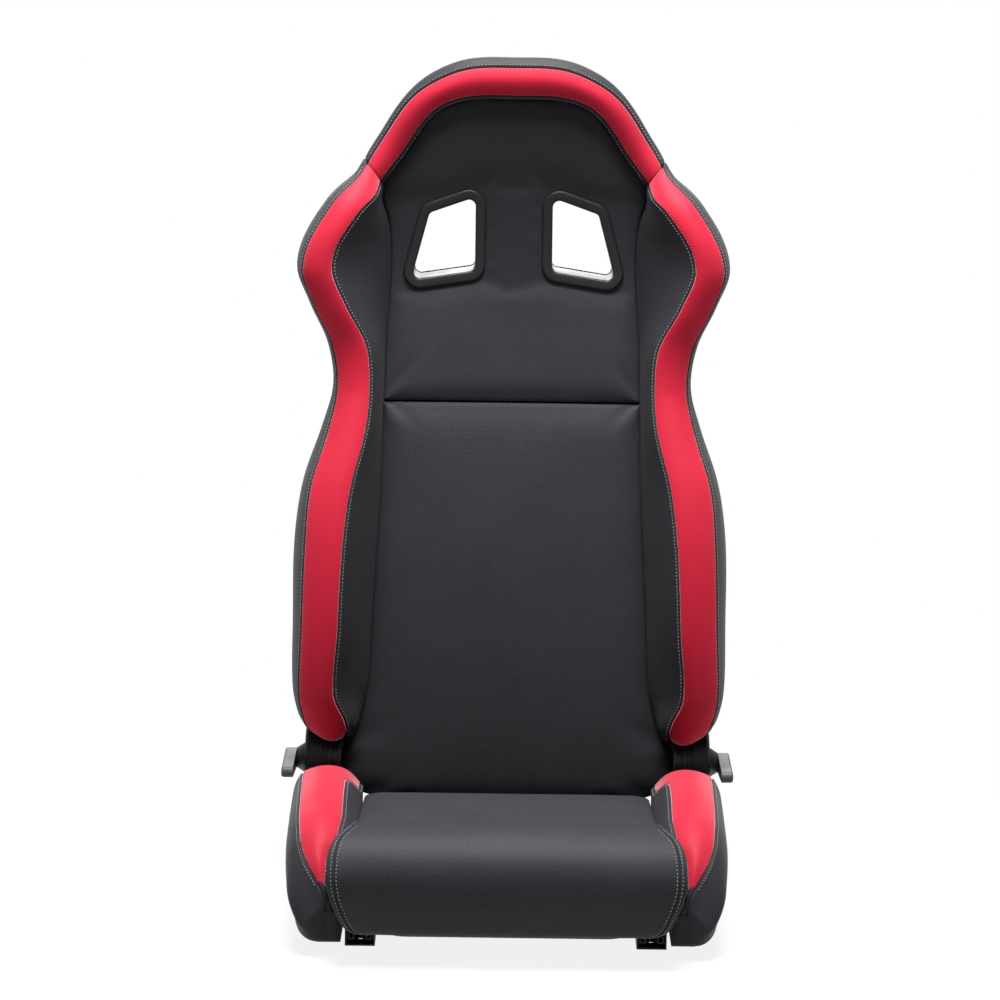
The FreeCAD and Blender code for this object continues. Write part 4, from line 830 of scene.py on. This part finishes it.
def bolster_cover(stations, pitch, start_round, end_round, beside=0):
    """Mesh of a backrest bolster's cover, and the stitch paths beside its seams."""
    table = wing_table(stations)
    length = table[-1][0]

    def row_at(place):
        return joined(wing_panels(table, min(length, max(0.0, place))))

    placed = ended_rows(row_at, 0.0, length, pitch, start_round, end_round, beside)
    placed = [(place, [(over_recliner(step[0]),) + step[1:] for step in row]) for place, row in placed]
    return banded_cover(placed, wing_panels(table, length / 2), (start_round + 1, length - end_round - 1))


class SEAT_OT_backrest_bolsters(bpy.types.Operator):
    """Sews the cover of the bolster on each side of the backrest"""
    bl_idname = "seat.backrest_bolsters"
    bl_label = "Backrest bolsters"

    def execute(self, context):
        bm, paths = bolster_cover(WING + ARCH[:1], pitch=5.5, start_round=12.0, end_round=2.5, beside=11)
        both_bolsters(bm, paths, "backrest_bolster", "backrest")
        return {"FINISHED"}


class SEAT_OT_head_bolster(bpy.types.Operator):
    """Sews the cover of the band over the head"""
    bl_idname = "seat.head_bolster"
    bl_label = "Head bolster"

    def execute(self, context):
        first = ARCH[0]
        start = outward((first[0], first[1], first[2] + 90), 1.0)
        right = ((start.x, start.y) + tuple(first[2:]),) + ARCH[1:]
        stations = right + tuple(mirrored_station(station) for station in reversed(right[:-1]))
        bm, paths = bolster_cover(stations, pitch=5.0, start_round=2.5, end_round=2.5)
        sewn_threads(BVHTree.FromBMesh(bm), paths, BESIDE_BAND, "head_bolster_stitches", "backrest")
        as_piece(bm, "head_bolster_cover", "backrest", COVER_FINISHES, ("head_bolster",))
        return {"FINISHED"}


# ---------------------------------------------------------------- backrest panels

def outline_patch(bottom, right, top):
    """Place on a panel, from (u, v) to X and Z, by its lower, right and upper outlines."""
    left = [Vector((-point.x, point.y)) for point in right]
    runs = [(points, chain(points)) for points in (bottom, top, left, right)]

    def along(index, share):
        points, places = runs[index]
        return flow(places, points, share * places[-1])

    corners = [along(0, 0), along(0, 1), along(1, 0), along(1, 1)]

    def spot(u, v):
        edges = along(0, u) * (1 - v) + along(1, u) * v + along(2, v) * (1 - u) + along(3, v) * u
        mixed = corners[0] * ((1 - u) * (1 - v)) + corners[1] * (u * (1 - v))
        return edges - mixed - corners[2] * ((1 - u) * v) - corners[3] * (u * v)

    return spot


# Rows beside a welt, and how much of its depth each one lies below the cloth
WELT_ROWS = ((-4, 0.0), (-1.8, -0.1), (-0.8, 0.45), (0, 1.0), (0.8, 0.45), (1.8, -0.1), (4, 0.0))


def rim_steps(length, radius, count, welt=0.0):
    """Steps across a pad. Each: distance, turn of the rounded rim and share of a welt."""
    rim = [(0.0, None, 0.0)]
    for turn in RIM_TURNS:
        rim.append((radius * (1 - math.sin(math.radians(turn))), math.radians(turn), 0.0))
    if welt:
        rim += [(welt + offset, 0.0, share) for offset, share in WELT_ROWS]
    last = rim[-1][0]
    inner = [(last + (length - 2 * last) * step / count, 0.0, 0.0) for step in range(1, count)]
    return rim + inner + [(length - step[0],) + step[1:] for step in reversed(rim)]


def pad_side(spot, lift, near, far, sizes, counts, radius, swell, pinned,
             welt=0.0, welt_depth=0.0, middle=0.5):
    """Rows of one face of a pad: near and far give the depth of this face and of the other one."""
    steps_u = rim_steps(sizes[0], radius, counts[0], welt)
    steps_v = rim_steps(sizes[1], radius, counts[1], welt)
    rows = []
    for step_v, turn_v, welt_v in steps_v:
        row = []
        for step_u, turn_u, welt_u in steps_u:
            u, v = step_u / sizes[0], step_v / sizes[1]
            place = spot(u, v)
            top, base = near(place), far(place)
            if turn_u is None or turn_v is None:
                depth = top + (base - top) * middle
                held, sink = 1.0, 0.0
            else:
                drop = radius * (1 - math.cos(turn_u) * math.cos(turn_v))
                crown = swell(u, v, place)
                depth = top + math.copysign(drop, base - top) - math.copysign(crown, base - top)
                held = 1.0 if max(turn_u, turn_v) > 1.2 or pinned(place) else 0.0
                sink = welt_depth * max(welt_u, welt_v)
            row.append((lift(place, depth), sink, held, step_u))
        rows.append(row)
    return rows, [step[0] for step in steps_v]


def crowned(amount):
    """Fullness of a panel that grows from its edges."""
    def swell(u, v, place):
        return amount * (1 - (2 * u - 1) ** 4) * (1 - (2 * v - 1) ** 4)
    return swell


def flat(u, v, place):
    return 0.0


def never(place):
    return False


def always(place):
    return True


def backrest_lift(place, depth):
    return Vector((place.x, depth, place.y))


def depth_of(surface, behind=0.0):
    """Depth of a panel's face that follows one of the backrest's surfaces."""
    return lambda place: surface(place.y) + behind


def pad_cover(spot, lift, near, far, sizes, counts, radius, swell, pinned=never, **extra):
    """Closed cover of a pad from its two faces, which meet half-way round its side."""
    rows, places = pad_side(spot, lift, near, far, sizes, counts, radius, swell, pinned, **extra)
    bm = cover_mesh(rows, places, [BLACK] * (len(rows[0]) - 1))
    rows, places = pad_side(spot, lift, far, near, sizes, counts, 4.0, flat, always,
                            middle=1 - extra.get("middle", 0.5))
    back = cover_mesh(rows, places, [BLACK] * (len(rows[0]) - 1))
    mesh = mesh_from(back, "back_face")
    bm.from_mesh(mesh)
    bpy.data.meshes.remove(mesh)
    close(bm)
    return bm


def valley_line(stations):
    """Where the middle panels end beside the bolsters."""
    return [outward(station, -PAD_INSET) for station in stations]


def split_at_seam():
    """Valley points below and above the seam between the two middle panels, and the seam's half width."""
    points = valley_line(WING)
    low = [point for point in points if point.y < PANEL_SEAM_Z]
    high = [point for point in points if point.y > PANEL_SEAM_Z]
    share = (PANEL_SEAM_Z - low[-1].y) / (high[0].y - low[-1].y)
    return low, high, low[-1].x + (high[0].x - low[-1].x) * share


class SEAT_OT_backrest_pad(bpy.types.Operator):
    """Sews the cover of the lower middle panel of the backrest"""
    bl_idname = "seat.backrest_pad"
    bl_label = "Backrest pad"

    def execute(self, context):
        low, _, half = split_at_seam()
        right = [Vector(point) for point in PAD_FOOT] + low + [Vector((half, PANEL_SEAM_Z - 0.5))]
        top = [Vector((half * share, PANEL_SEAM_Z - 0.5)) for share in (-1, 0, 1)]
        spot = outline_patch([Vector(point) for point in PAD_BOTTOM], right, top)

        # The pad is thin at its foot
        def far(place):
            thin = front_y(place.y) + 15
            return thin + (foam_y(place.y) - thin) * ramp(place.y, 150, 190)

        bm = pad_cover(spot, backrest_lift, depth_of(front_y), far, sizes=(325.0, 460.0), counts=(44, 64),
                       radius=4.0, swell=crowned(2.5))
        swell_cover(bm)
        as_piece(bm, "backrest_pad_cover", "backrest", COVER_FINISHES, ("backrest_pad",))
        return {"FINISHED"}


def slot_corners():
    """Corners of a belt slot's straight sides and the middle of the slot, in X and Z."""
    corners = [Vector(corner) for corner in SLOT_CORNERS]
    return corners, sum(corners, Vector((0, 0))) / len(corners)


def facing(normal, arm):
    """A normal, turned to the side that an arm points to."""
    return -normal if normal.dot(arm) < 0 else normal


def slot_ring(grow, sign=1):
    """Outline of a belt slot, larger all round by a distance, in X and Z."""
    corners, middle = slot_corners()
    ring = []
    for index, corner in enumerate(corners):
        back = (corners[index - 1] - corner).normalized()
        ahead = (corners[(index + 1) % 4] - corner).normalized()
        half = back.angle(ahead) / 2
        centre = corner + (back + ahead).normalized() * (SLOT_ROUND / math.sin(half))
        first = facing(Vector((back.y, -back.x)), centre - middle)
        last = facing(Vector((-ahead.y, ahead.x)), centre - middle)
        for step in range(9):
            arm = first.lerp(last, step / 8).normalized()
            ring.append(centre + arm * (SLOT_ROUND + grow))
    full = []
    for index, point in enumerate(ring):
        full.append(point)
        after = ring[(index + 1) % len(ring)]
        if (after - point).length > 20:
            full += [point.lerp(after, step / 6) for step in range(1, 6)]
    return [Vector((sign * point.x, point.y)) for point in full]


def past_slot(place):
    """How far a place lies outside the nearer belt slot's straight sides."""
    corners, middle = slot_corners()
    here = Vector((abs(place.x), place.y))
    distances = []
    for index, corner in enumerate(corners):
        along = (corners[(index + 1) % 4] - corner).normalized()
        out = facing(Vector((-along.y, along.x)), corner - middle)
        distances.append(out.dot(here - corner))
    return max(distances)


def cut_slots(piece):
    """Cuts both belt slots through a piece and makes its modifiers part of the mesh."""
    cutters = []
    for sign in (-1, 1):
        ring = slot_ring(SLEEVE_WALL + CUT_PLAY, sign)
        bm = bmesh.new()
        verts = bmesh.ops.create_circle(bm, segments=len(ring), radius=1.0, cap_ends=True)["verts"]
        for vert, point in zip(verts, ring):
            vert.co = Vector((point.x, CUT_START_Y, point.y)) * MM
        grown = bmesh.ops.extrude_face_region(bm, geom=list(bm.faces))["geom"]
        moved = [item for item in grown if isinstance(item, bmesh.types.BMVert)]
        bmesh.ops.translate(bm, vec=(0, CUT_LENGTH * MM, 0), verts=moved)
        bmesh.ops.recalc_face_normals(bm, faces=bm.faces)
        cutter = put_in_scene("slot_cutter", mesh_from(bm, "slot_cutter"))
        cut = piece.modifiers.new("Slot", "BOOLEAN")
        cut.object = cutter
        cut.operation = "DIFFERENCE"
        cut.solver = "EXACT"
        cutters.append(cutter)
    fix_shape(piece)
    for cutter in cutters:
        discard(cutter)


def beside_slots(amount):
    """Fullness of a panel that is drawn in round the belt slots."""
    crown = crowned(amount)

    def swell(u, v, place):
        return crown(u, v, place) * ramp(past_slot(place), 10.0, 42.0)

    return swell


class SEAT_OT_shoulder_pad(bpy.types.Operator):
    """Sews the cover of the upper middle panel, with its belt slots"""
    bl_idname = "seat.shoulder_pad"
    bl_label = "Shoulder pad"

    def execute(self, context):
        _, high, half = split_at_seam()
        seam = PANEL_SEAM_Z + 0.5
        arch = valley_line(ARCH)
        right = [Vector((half, seam))] + high + [arch[0]]
        top = [Vector((-point.x, point.y)) for point in arch[:-1]] + list(reversed(arch))
        bottom = [Vector((half * share, seam)) for share in (-1, 0, 1)]
        spot = outline_patch(bottom, right, top)

        def under_bezel(place):
            return past_slot(place) < BEZEL_WIDTH

        bm = pad_cover(spot, backrest_lift, depth_of(front_y), depth_of(foam_y), sizes=(312.0, 320.0),
                       counts=(54, 54), radius=4.5, swell=beside_slots(3.0), pinned=under_bezel)
        swell_cover(bm)
        piece = as_piece(bm, "shoulder_pad_cover", "backrest", COVER_FINISHES, ("shoulder_pad",))
        cut_slots(piece)
        return {"FINISHED"}


class SEAT_OT_belt_bezels(bpy.types.Operator):
    """Moulds the frame that lines each belt slot"""
    bl_idname = "seat.belt_bezels"
    bl_label = "Belt slot frames"

    def execute(self, context):
        for side, sign in SIDES:
            rows = []
            for grow, depth in BEZEL_LINES:
                ring = slot_ring(grow, sign)
                row = []
                for index, point in enumerate(ring + ring[:1]):
                    y = rear_y(point.y) if depth is None else front_y(point.y) + depth
                    row.append((Vector((point.x, y, point.y)), 0.0, 1.0, index * 5.0))
                rows.append(row)
            bm = cover_mesh(rows, [4.0 * index for index in range(len(rows))], [0] * (len(rows[0]) - 1))
            close(bm)
            as_piece(bm, "belt_slot_frame" + side, "backrest", ("moulded_black",), ("belt_bezel" + side,))
        return {"FINISHED"}


class SEAT_OT_back_cover(bpy.types.Operator):
    """Sews the cover over the rear of the backrest"""
    bl_idname = "seat.back_cover"
    bl_label = "Back cover"

    def execute(self, context):
        edge = [outward(station, station[5] - EDGE_TUCK - 1) for station in WING[2:] + ARCH]
        turn = len(edge) - 3
        right = [Vector((edge[0].x - 3, BACK_EDGE_Z))] + edge[:turn + 1]
        top = [Vector((-point.x, point.y)) for point in edge[turn:-1]] + list(reversed(edge[turn:]))
        bottom = [Vector((right[0].x * share, BACK_EDGE_Z)) for share in (-1, -0.5, 0, 0.5, 1)]
        spot = outline_patch(bottom, right, top)

        def at_slot(place):
            return past_slot(place) < 12

        def tail(u, v):
            return Vector((TAIL_X * (2 * u - 1), TAIL_LOW + (TAIL_HIGH - TAIL_LOW) * v))

        rows, places = pad_side(
            spot, backrest_lift, depth_of(rear_y), depth_of(foam_y, 1), sizes=(480.0, 760.0), counts=(54, 84),
            radius=9.0, swell=beside_slots(1.5), pinned=at_slot, welt=26.0, welt_depth=1.8, middle=1.0)
        self.shell(rows, places, "back_cover_shell", cut=True)
        rows, places = pad_side(
            tail, backrest_lift, depth_of(rear_y, -1.5), depth_of(rear_y, -14), sizes=(352.0, 96.0),
            counts=(40, 14), radius=5.0, swell=flat, pinned=never, middle=1.0)
        self.shell(rows, places, "back_cover_tail", cut=False)
        return {"FINISHED"}

    def shell(self, rows, places, name, cut):
        """One panel of the cover as a padded skin that is open towards the frame."""
        bm = cover_mesh(rows, places, [BLACK] * (len(rows[0]) - 1))
        close(bm)
        inward = sum(face.normal.y * face.calc_area() for face in bm.faces) < 0
        if inward:
            bmesh.ops.reverse_faces(bm, faces=bm.faces)
        swell_cover(bm, 0.5)
        piece = as_piece(bm, name, "backrest", COVER_FINISHES, ("back_cover",))
        skin = piece.modifiers.new("Skin", "SOLIDIFY")
        skin.thickness = bpy.context.scene.seat_padding.skin
        skin.offset = -1.0
        if cut:
            cut_slots(piece)
        else:
            fix_shape(piece)


# ---------------------------------------------------------------- cushion

class SEAT_OT_cushion(bpy.types.Operator):
    """Sews the cover of the sitting surface"""
    bl_idname = "seat.cushion"
    bl_label = "Cushion"

    def execute(self, context):
        length = CUSHION_REAR - CUSHION_FRONT

        def spot(u, v):
            return Vector((CUSHION_HALF * (2 * u - 1), CUSHION_FRONT + length * v))

        def top(place):
            return CUSHION_FRONT_Z + (CUSHION_REAR_Z - CUSHION_FRONT_Z) * (place.y - CUSHION_FRONT) / length

        # The underside steps up at its front edge
        def base(place):
            return CUSHION_BASE_Z + CUSHION_STEP_Z * (1 - ramp(place.y, -135, -129))

        def lift(place, depth):
            return Vector((place.x, place.y, depth))

        # Fullest across the middle and a little nearer to the front
        def seated(u, v, place):
            return 5.0 * (1 - (2 * u - 1) ** 4) * math.sin(math.pi * min(1.0, v * 1.05)) ** 0.7

        bm = pad_cover(spot, lift, top, base, sizes=(344.0, 250.0), counts=(50, 38), radius=5.0, swell=seated)
        swell_cover(bm)
        as_piece(bm, "cushion_cover", "seat_base", COVER_FINISHES, ("cushion_pad",))
        return {"FINISHED"}


def roll_loop():
    """Points round the front roll's section: its rear face, the curve over its crest, and its underside."""
    section = [Vector(point) for point in ROLL_SECTION]
    over = section[1:-1]
    stops = chain(over)
    loop = [section[0].lerp(section[1], step / 8) for step in range(8)]
    loop += [flow(stops, over, stops[-1] * step / ROLL_STEPS) for step in range(ROLL_STEPS)]
    for start, end in ((section[-2], section[-1]), (section[-1], section[0])):
        loop += [start.lerp(end, step / 6) for step in range(6)]
    return loop + loop[:1]


def roll_half(point):
    """Half the roll's width at a point of its section. Its rear stands between the bolsters."""
    rear = ramp(point.x, -203, -180) * ramp(point.y, 88, 125)
    return reading(ROLL_OUTLINE, point.y, 1) * (1 - rear) + ROLL_REAR_HALF * rear


def beside_cap(point, sign, offset):
    """Point on the roll that lies a distance inside the seam of an end cap."""
    return Vector((sign * (roll_half(point) - ROLL_EDGE - CAP_SEAM - offset), point.x, point.y))


def roll_end(loop, girth, sign):
    """Rows of one end of the roll: from the middle of the end over its edge, then across the cap's seam."""
    middle = Vector(ROLL_MIDDLE)
    depth = bpy.context.scene.seat_padding.seam_depth / MM
    rows = []
    for degrees, scale in ROLL_END:
        turn = math.radians(degrees)
        row = []
        for point, place in zip(loop, girth):
            arm = point - middle
            x = roll_half(point) - ROLL_EDGE * (1 - math.sin(turn))
            pulled = max(0.0, arm.length - ROLL_EDGE * (1 - math.cos(turn))) * scale
            spot = middle + arm.normalized() * pulled
            row.append((Vector((sign * x, spot.x, spot.y)), 0.0, 1.0, place))
        rows.append(row)
    for offset, share in CAP_ROWS:
        rows.append([(beside_cap(point, sign, offset), depth * share, 1.0, place)
                     for point, place in zip(loop, girth)])
    return rows


class SEAT_OT_front_roll(bpy.types.Operator):
    """Sews the cover of the roll at the front of the cushion, with its end caps"""
    bl_idname = "seat.front_roll"
    bl_label = "Front roll"

    def execute(self, context):
        loop = roll_loop()
        girth = chain(loop)
        rows = roll_end(loop, girth, -1)
        for step in range(1, ROLL_ROWS):
            share = step / ROLL_ROWS
            bulge = -2.0 * math.sin(math.pi * share)
            row = []
            for point, place in zip(loop, girth):
                reach = roll_half(point) - ROLL_EDGE - 2 * CAP_SEAM - CAP_GAP
                held = 0.0 if ROLL_FREE[0] <= place <= girth[-1] - ROLL_FREE[1] else 1.0
                row.append((Vector((reach * (2 * share - 1), point.x, point.y)), bulge, held, place))
            rows.append(row)
        rows += reversed(roll_end(loop, girth, 1))
        places = [row[len(row) // 2][0].x + 220 for row in rows]
        bm = cover_mesh(rows, places, [BLACK] * (len(loop) - 1))
        close(bm)
        swell_cover(bm, 0.8)
        sewn = [point for point, place in zip(loop, girth) if ROLL_SEWN[0] < place < girth[-1] - ROLL_SEWN[1]]
        paths = [
            [beside_cap(point, sign, offset) for point in sewn] for sign in (-1, 1) for offset in (-3.0, 3.0)]
        sewn_threads(BVHTree.FromBMesh(bm), paths, [PALE] * 4, "front_roll_stitches", "seat_base")
        as_piece(bm, "front_roll_cover", "seat_base", COVER_FINISHES, ("front_roll",))
        return {"FINISHED"}


def cushion_wing_panels(y):
    """Panels across the cushion's bolster at a place along it."""
    depth = bpy.context.scene.seat_padding.seam_depth / MM
    valley, band_in, band_out, top, edge = [reading(CUSHION_WING, y, column) for column in range(1, 6)]
    inner = reading(BESIDE_ROLL, min(BESIDE_ROLL[-1][0], max(BESIDE_ROLL[0][0], y)), 1)
    skirt_x, skirt_top, least_foot, side_x = SKIRT_X, SKIRT_TOP_Z, FOOT_X, inner
    if y < NOSE_REAR_Y:
        skirt_x, skirt_top, least_foot = NOSE_SKIRT_X, min(NOSE_SKIRT_TOP_Z, valley - 10), NOSE_FOOT_X
        side_x = NOSE_INNER_X
    low_in = Vector((skirt_x, y, skirt_top))
    foot_in = Vector((side_x, y, min(SKIRT_TOP_Z + 0.4 * (side_x - inner), valley - 4)))
    # The outer side turns down below the band, higher up at the rear, and then draws in to its foot
    side_z = top - 36 + 8 * ramp(y, -60, 40)
    crown = [
        Vector((inner, y, valley)), Vector((band_in, y, top - 6)), Vector(((band_in + band_out) / 2, y, top)),
        Vector((band_out, y, top - 8)), Vector((edge, y, side_z)),
        Vector((edge - 8, y, FOOT_Z + (side_z - FOOT_Z) * 0.42)),
        Vector((edge - 12, y, FOOT_Z + (side_z - FOOT_Z) * 0.13)),
        Vector((max(edge - 23, least_foot), y, FOOT_Z)),
    ]
    floor_in = Vector((skirt_x, y, FOOT_Z))
    for point in crown:
        point.x = max(point.x, inner)
    for index in range(1, len(crown)):
        if (crown[index] - crown[index - 1]).length < 2:
            crown[index].x = crown[index].x + 2
    stops = chain(crown)

    def curve(where):
        point = flow(stops, crown, where)
        point.x = max(point.x, inner)
        return point

    # The band's inner seam falls towards the valley at the rear; its outer one closes in at the front
    seam = stops[1] * (1 - 0.80 * ramp(y, -6, 34))
    ahead_of_bend = min(1.0, max(0.0, (BAND_BEND_Y - y) / (BAND_BEND_Y - BAND_TIP_Y)))
    last = seam + (stops[3] - seam) * max(0.08, math.sqrt(1 - ahead_of_bend ** 2))
    side, side_run = straight(foot_in, crown[0])
    bottom, bottom_run = straight(crown[-1], floor_in)
    skirt_in, skirt_run = straight(floor_in, low_in)
    under, under_run = straight(low_in, foot_in)
    return [
        panel(side, 0, side_run, 3, (0, 2.0), 0, held=True),
        panel(curve, 0, seam, 4, (2.0, depth), 0.6),
        panel(curve, seam, last, 8, (depth, depth), 1.5 * ramp(y, -240, -200)),
        panel(curve, last, stops[-1], 14, (depth, 1.0), 0.5),
        panel(bottom, 0, bottom_run, 1, (0, 0), 0, held=True),
        panel(skirt_in, 0, skirt_run, 3, (0, 0), 0, held=True),
        panel(under, 0, under_run, 2, (0, 0), 0, held=True),
    ]


class SEAT_OT_cushion_bolsters(bpy.types.Operator):
    """Sews the cover of the bolster on each side of the cushion, with its skirt over the side member"""
    bl_idname = "seat.cushion_bolsters"
    bl_label = "Cushion bolsters"

    def execute(self, context):
        front, rear = CUSHION_WING[0][0], CUSHION_WING[-1][0]

        def row_at(y):
            return joined(cushion_wing_panels(min(rear, max(front, y))))

        placed = ended_rows(row_at, float(front), float(rear), pitch=3.6, start_round=12.0, end_round=9.0,
                            beside=11)
        bm, paths = banded_cover(placed, cushion_wing_panels(0.0), (front + 9, rear - 10), swell_share=0.7,
                                 dark_before=BAND_END_Y)
        both_bolsters(bm, paths, "cushion_bolster", "seat_base")
        return {"FINISHED"}


# ---------------------------------------------------------------- frame and stage

class SEAT_OT_frame_finishes(bpy.types.Operator):
    """Gives the steel, plated and moulded parts of the frame their finishes"""
    bl_idname = "seat.frame_finishes"
    bl_label = "Frame finishes"

    def execute(self, context):
        slots = {part["node"]: part["material_slot"] for part in frame["record"]["subparts"]}
        for node, shown in frame["nodes"].items():
            chosen = finish(SLOT_FINISHES[slots[node]])
            if not shown.data.materials:
                shown.data.materials.append(chosen)
            for index in range(len(shown.material_slots)):
                shown.material_slots[index].material = chosen
        return {"FINISHED"}


class SEAT_OT_stage(bpy.types.Operator):
    """Sets the camera, the soft lamps and a white floor"""
    bl_idname = "seat.stage"
    bl_label = "Stage"

    def execute(self, context):
        studio = context.scene.seat_studio
        scene = context.scene
        scene.view_settings.view_transform = "Standard"
        camera = put_in_scene("camera", bpy.data.cameras.new("camera"))
        camera.data.lens = studio.lens
        camera.data.sensor_width = 36.0
        camera.data.clip_end = 60.0
        turn = Matrix.Rotation(math.radians(90) - studio.pitch, 4, "X") @ Matrix.Rotation(studio.roll, 4, "Z")
        camera.matrix_world = Matrix.Translation((studio.aside, -studio.distance, studio.height)) @ turn
        scene.camera = camera

        self.lamp("overhead_lamp", (0.0, 0.10, 3.0), (0.0, 0.0, 0.5), 1.5, studio.overhead)
        self.lamp("front_lamp", (0.0, -3.6, 2.2), (0.0, 0.0, 0.5), 1.6, studio.fill)
        self.lamp("rear_lamp", (0.0, 3.0, 1.6), (0.0, 0.2, 0.5), 1.8, studio.rear)

        world = bpy.data.worlds.new("studio")
        scene.world = world
        world.use_nodes = True
        tree = world.node_tree
        tree.nodes.clear()
        seen = self.seen_directly(tree)
        soft = add_node(tree, "ShaderNodeBackground", {"Color": (1, 1, 1, 1), "Strength": studio.sky})
        white = add_node(tree, "ShaderNodeBackground", {"Color": (1, 1, 1, 1), "Strength": 1.0})
        mixed = add_node(tree, "ShaderNodeMixShader", {0: seen, 1: soft.outputs[0], 2: white.outputs[0]})
        add_node(tree, "ShaderNodeOutputWorld", {0: mixed.outputs[0]})

        bm = bmesh.new()
        bmesh.ops.create_grid(bm, x_segments=8, y_segments=8, size=6.0)
        floor = put_in_scene("floor", mesh_from(bm, "floor"))
        material = bpy.data.materials.new("white_floor")
        material.use_nodes = True
        tree = material.node_tree
        tree.nodes.clear()
        seen = self.seen_directly(tree)
        reach = add_node(tree, "ShaderNodeVectorMath", {0: own_place(tree)}, operation="LENGTH")
        edge = stretch(tree, reach.outputs["Value"], 0.4, 0.9, 0.86, 1.0)
        share = arithmetic(tree, "MULTIPLY", seen, edge)
        paint = add_node(tree, "ShaderNodeBsdfDiffuse", {"Color": (0.6, 0.6, 0.6, 1)})
        glow = add_node(tree, "ShaderNodeEmission", {"Color": (1, 1, 1, 1), "Strength": 1.0})
        mixed = add_node(tree, "ShaderNodeMixShader", {0: share, 1: paint.outputs[0], 2: glow.outputs[0]})
        add_node(tree, "ShaderNodeOutputMaterial", {0: mixed.outputs[0]})
        floor.data.materials.append(material)
        return {"FINISHED"}

    def seen_directly(self, tree):
        """1 where the camera, a reflection or glass looks at the background."""
        path = add_node(tree, "ShaderNodeLightPath", {})
        most = arithmetic(tree, "MAXIMUM", path.outputs["Is Camera Ray"], path.outputs["Is Glossy Ray"])
        return arithmetic(tree, "MAXIMUM", most, path.outputs["Is Transmission Ray"])

    def lamp(self, name, place, aim, size, energy):
        lamp = put_in_scene(name, bpy.data.lights.new(name, "AREA"))
        lamp.data.shape = "SQUARE"
        lamp.data.size = size
        lamp.data.energy = energy
        lamp.location = place
        lamp.rotation_euler = (Vector(aim) - Vector(place)).to_track_quat("-Z", "Y").to_euler()


class SEAT_PT_upholstery(bpy.types.Panel):
    bl_label = "Sports seat"
    bl_idname = "SEAT_PT_upholstery"
    bl_space_type = "VIEW_3D"
    bl_region_type = "UI"
    bl_category = "Seat"

    def draw(self, context):
        layout = self.layout
        for group in (context.scene.seat_cloth, context.scene.seat_padding, context.scene.seat_studio):
            box = layout.box()
            for key in group.__annotations__:
                box.prop(group, key)
        for operator in STEPS:
            layout.operator(operator.bl_idname)


STEPS = (
    SEAT_OT_stage, SEAT_OT_frame_finishes, SEAT_OT_backrest_bolsters, SEAT_OT_head_bolster,
    SEAT_OT_backrest_pad, SEAT_OT_shoulder_pad, SEAT_OT_belt_bezels, SEAT_OT_back_cover,
    SEAT_OT_cushion, SEAT_OT_front_roll, SEAT_OT_cushion_bolsters,
)
CLASSES = (SeatCloth, SeatPadding, SeatStudio) + STEPS + (SEAT_PT_upholstery,)


def register():
    for made in CLASSES:
        bpy.utils.register_class(made)
    bpy.types.Scene.seat_cloth = PointerProperty(type=SeatCloth)
    bpy.types.Scene.seat_padding = PointerProperty(type=SeatPadding)
    bpy.types.Scene.seat_studio = PointerProperty(type=SeatStudio)


def unregister():
    del bpy.types.Scene.seat_studio
    del bpy.types.Scene.seat_padding
    del bpy.types.Scene.seat_cloth
    for made in reversed(CLASSES):
        bpy.utils.unregister_class(made)


def main():
    register()
    bpy.ops.seat.stage()
    bpy.ops.seat.frame_finishes()
    bpy.ops.seat.backrest_bolsters()
    bpy.ops.seat.head_bolster()
    bpy.ops.seat.backrest_pad()
    bpy.ops.seat.shoulder_pad()
    bpy.ops.seat.belt_bezels()
    bpy.ops.seat.back_cover()
    bpy.ops.seat.cushion()
    bpy.ops.seat.front_roll()
    bpy.ops.seat.cushion_bolsters()


if __name__ == "__main__":
    main()
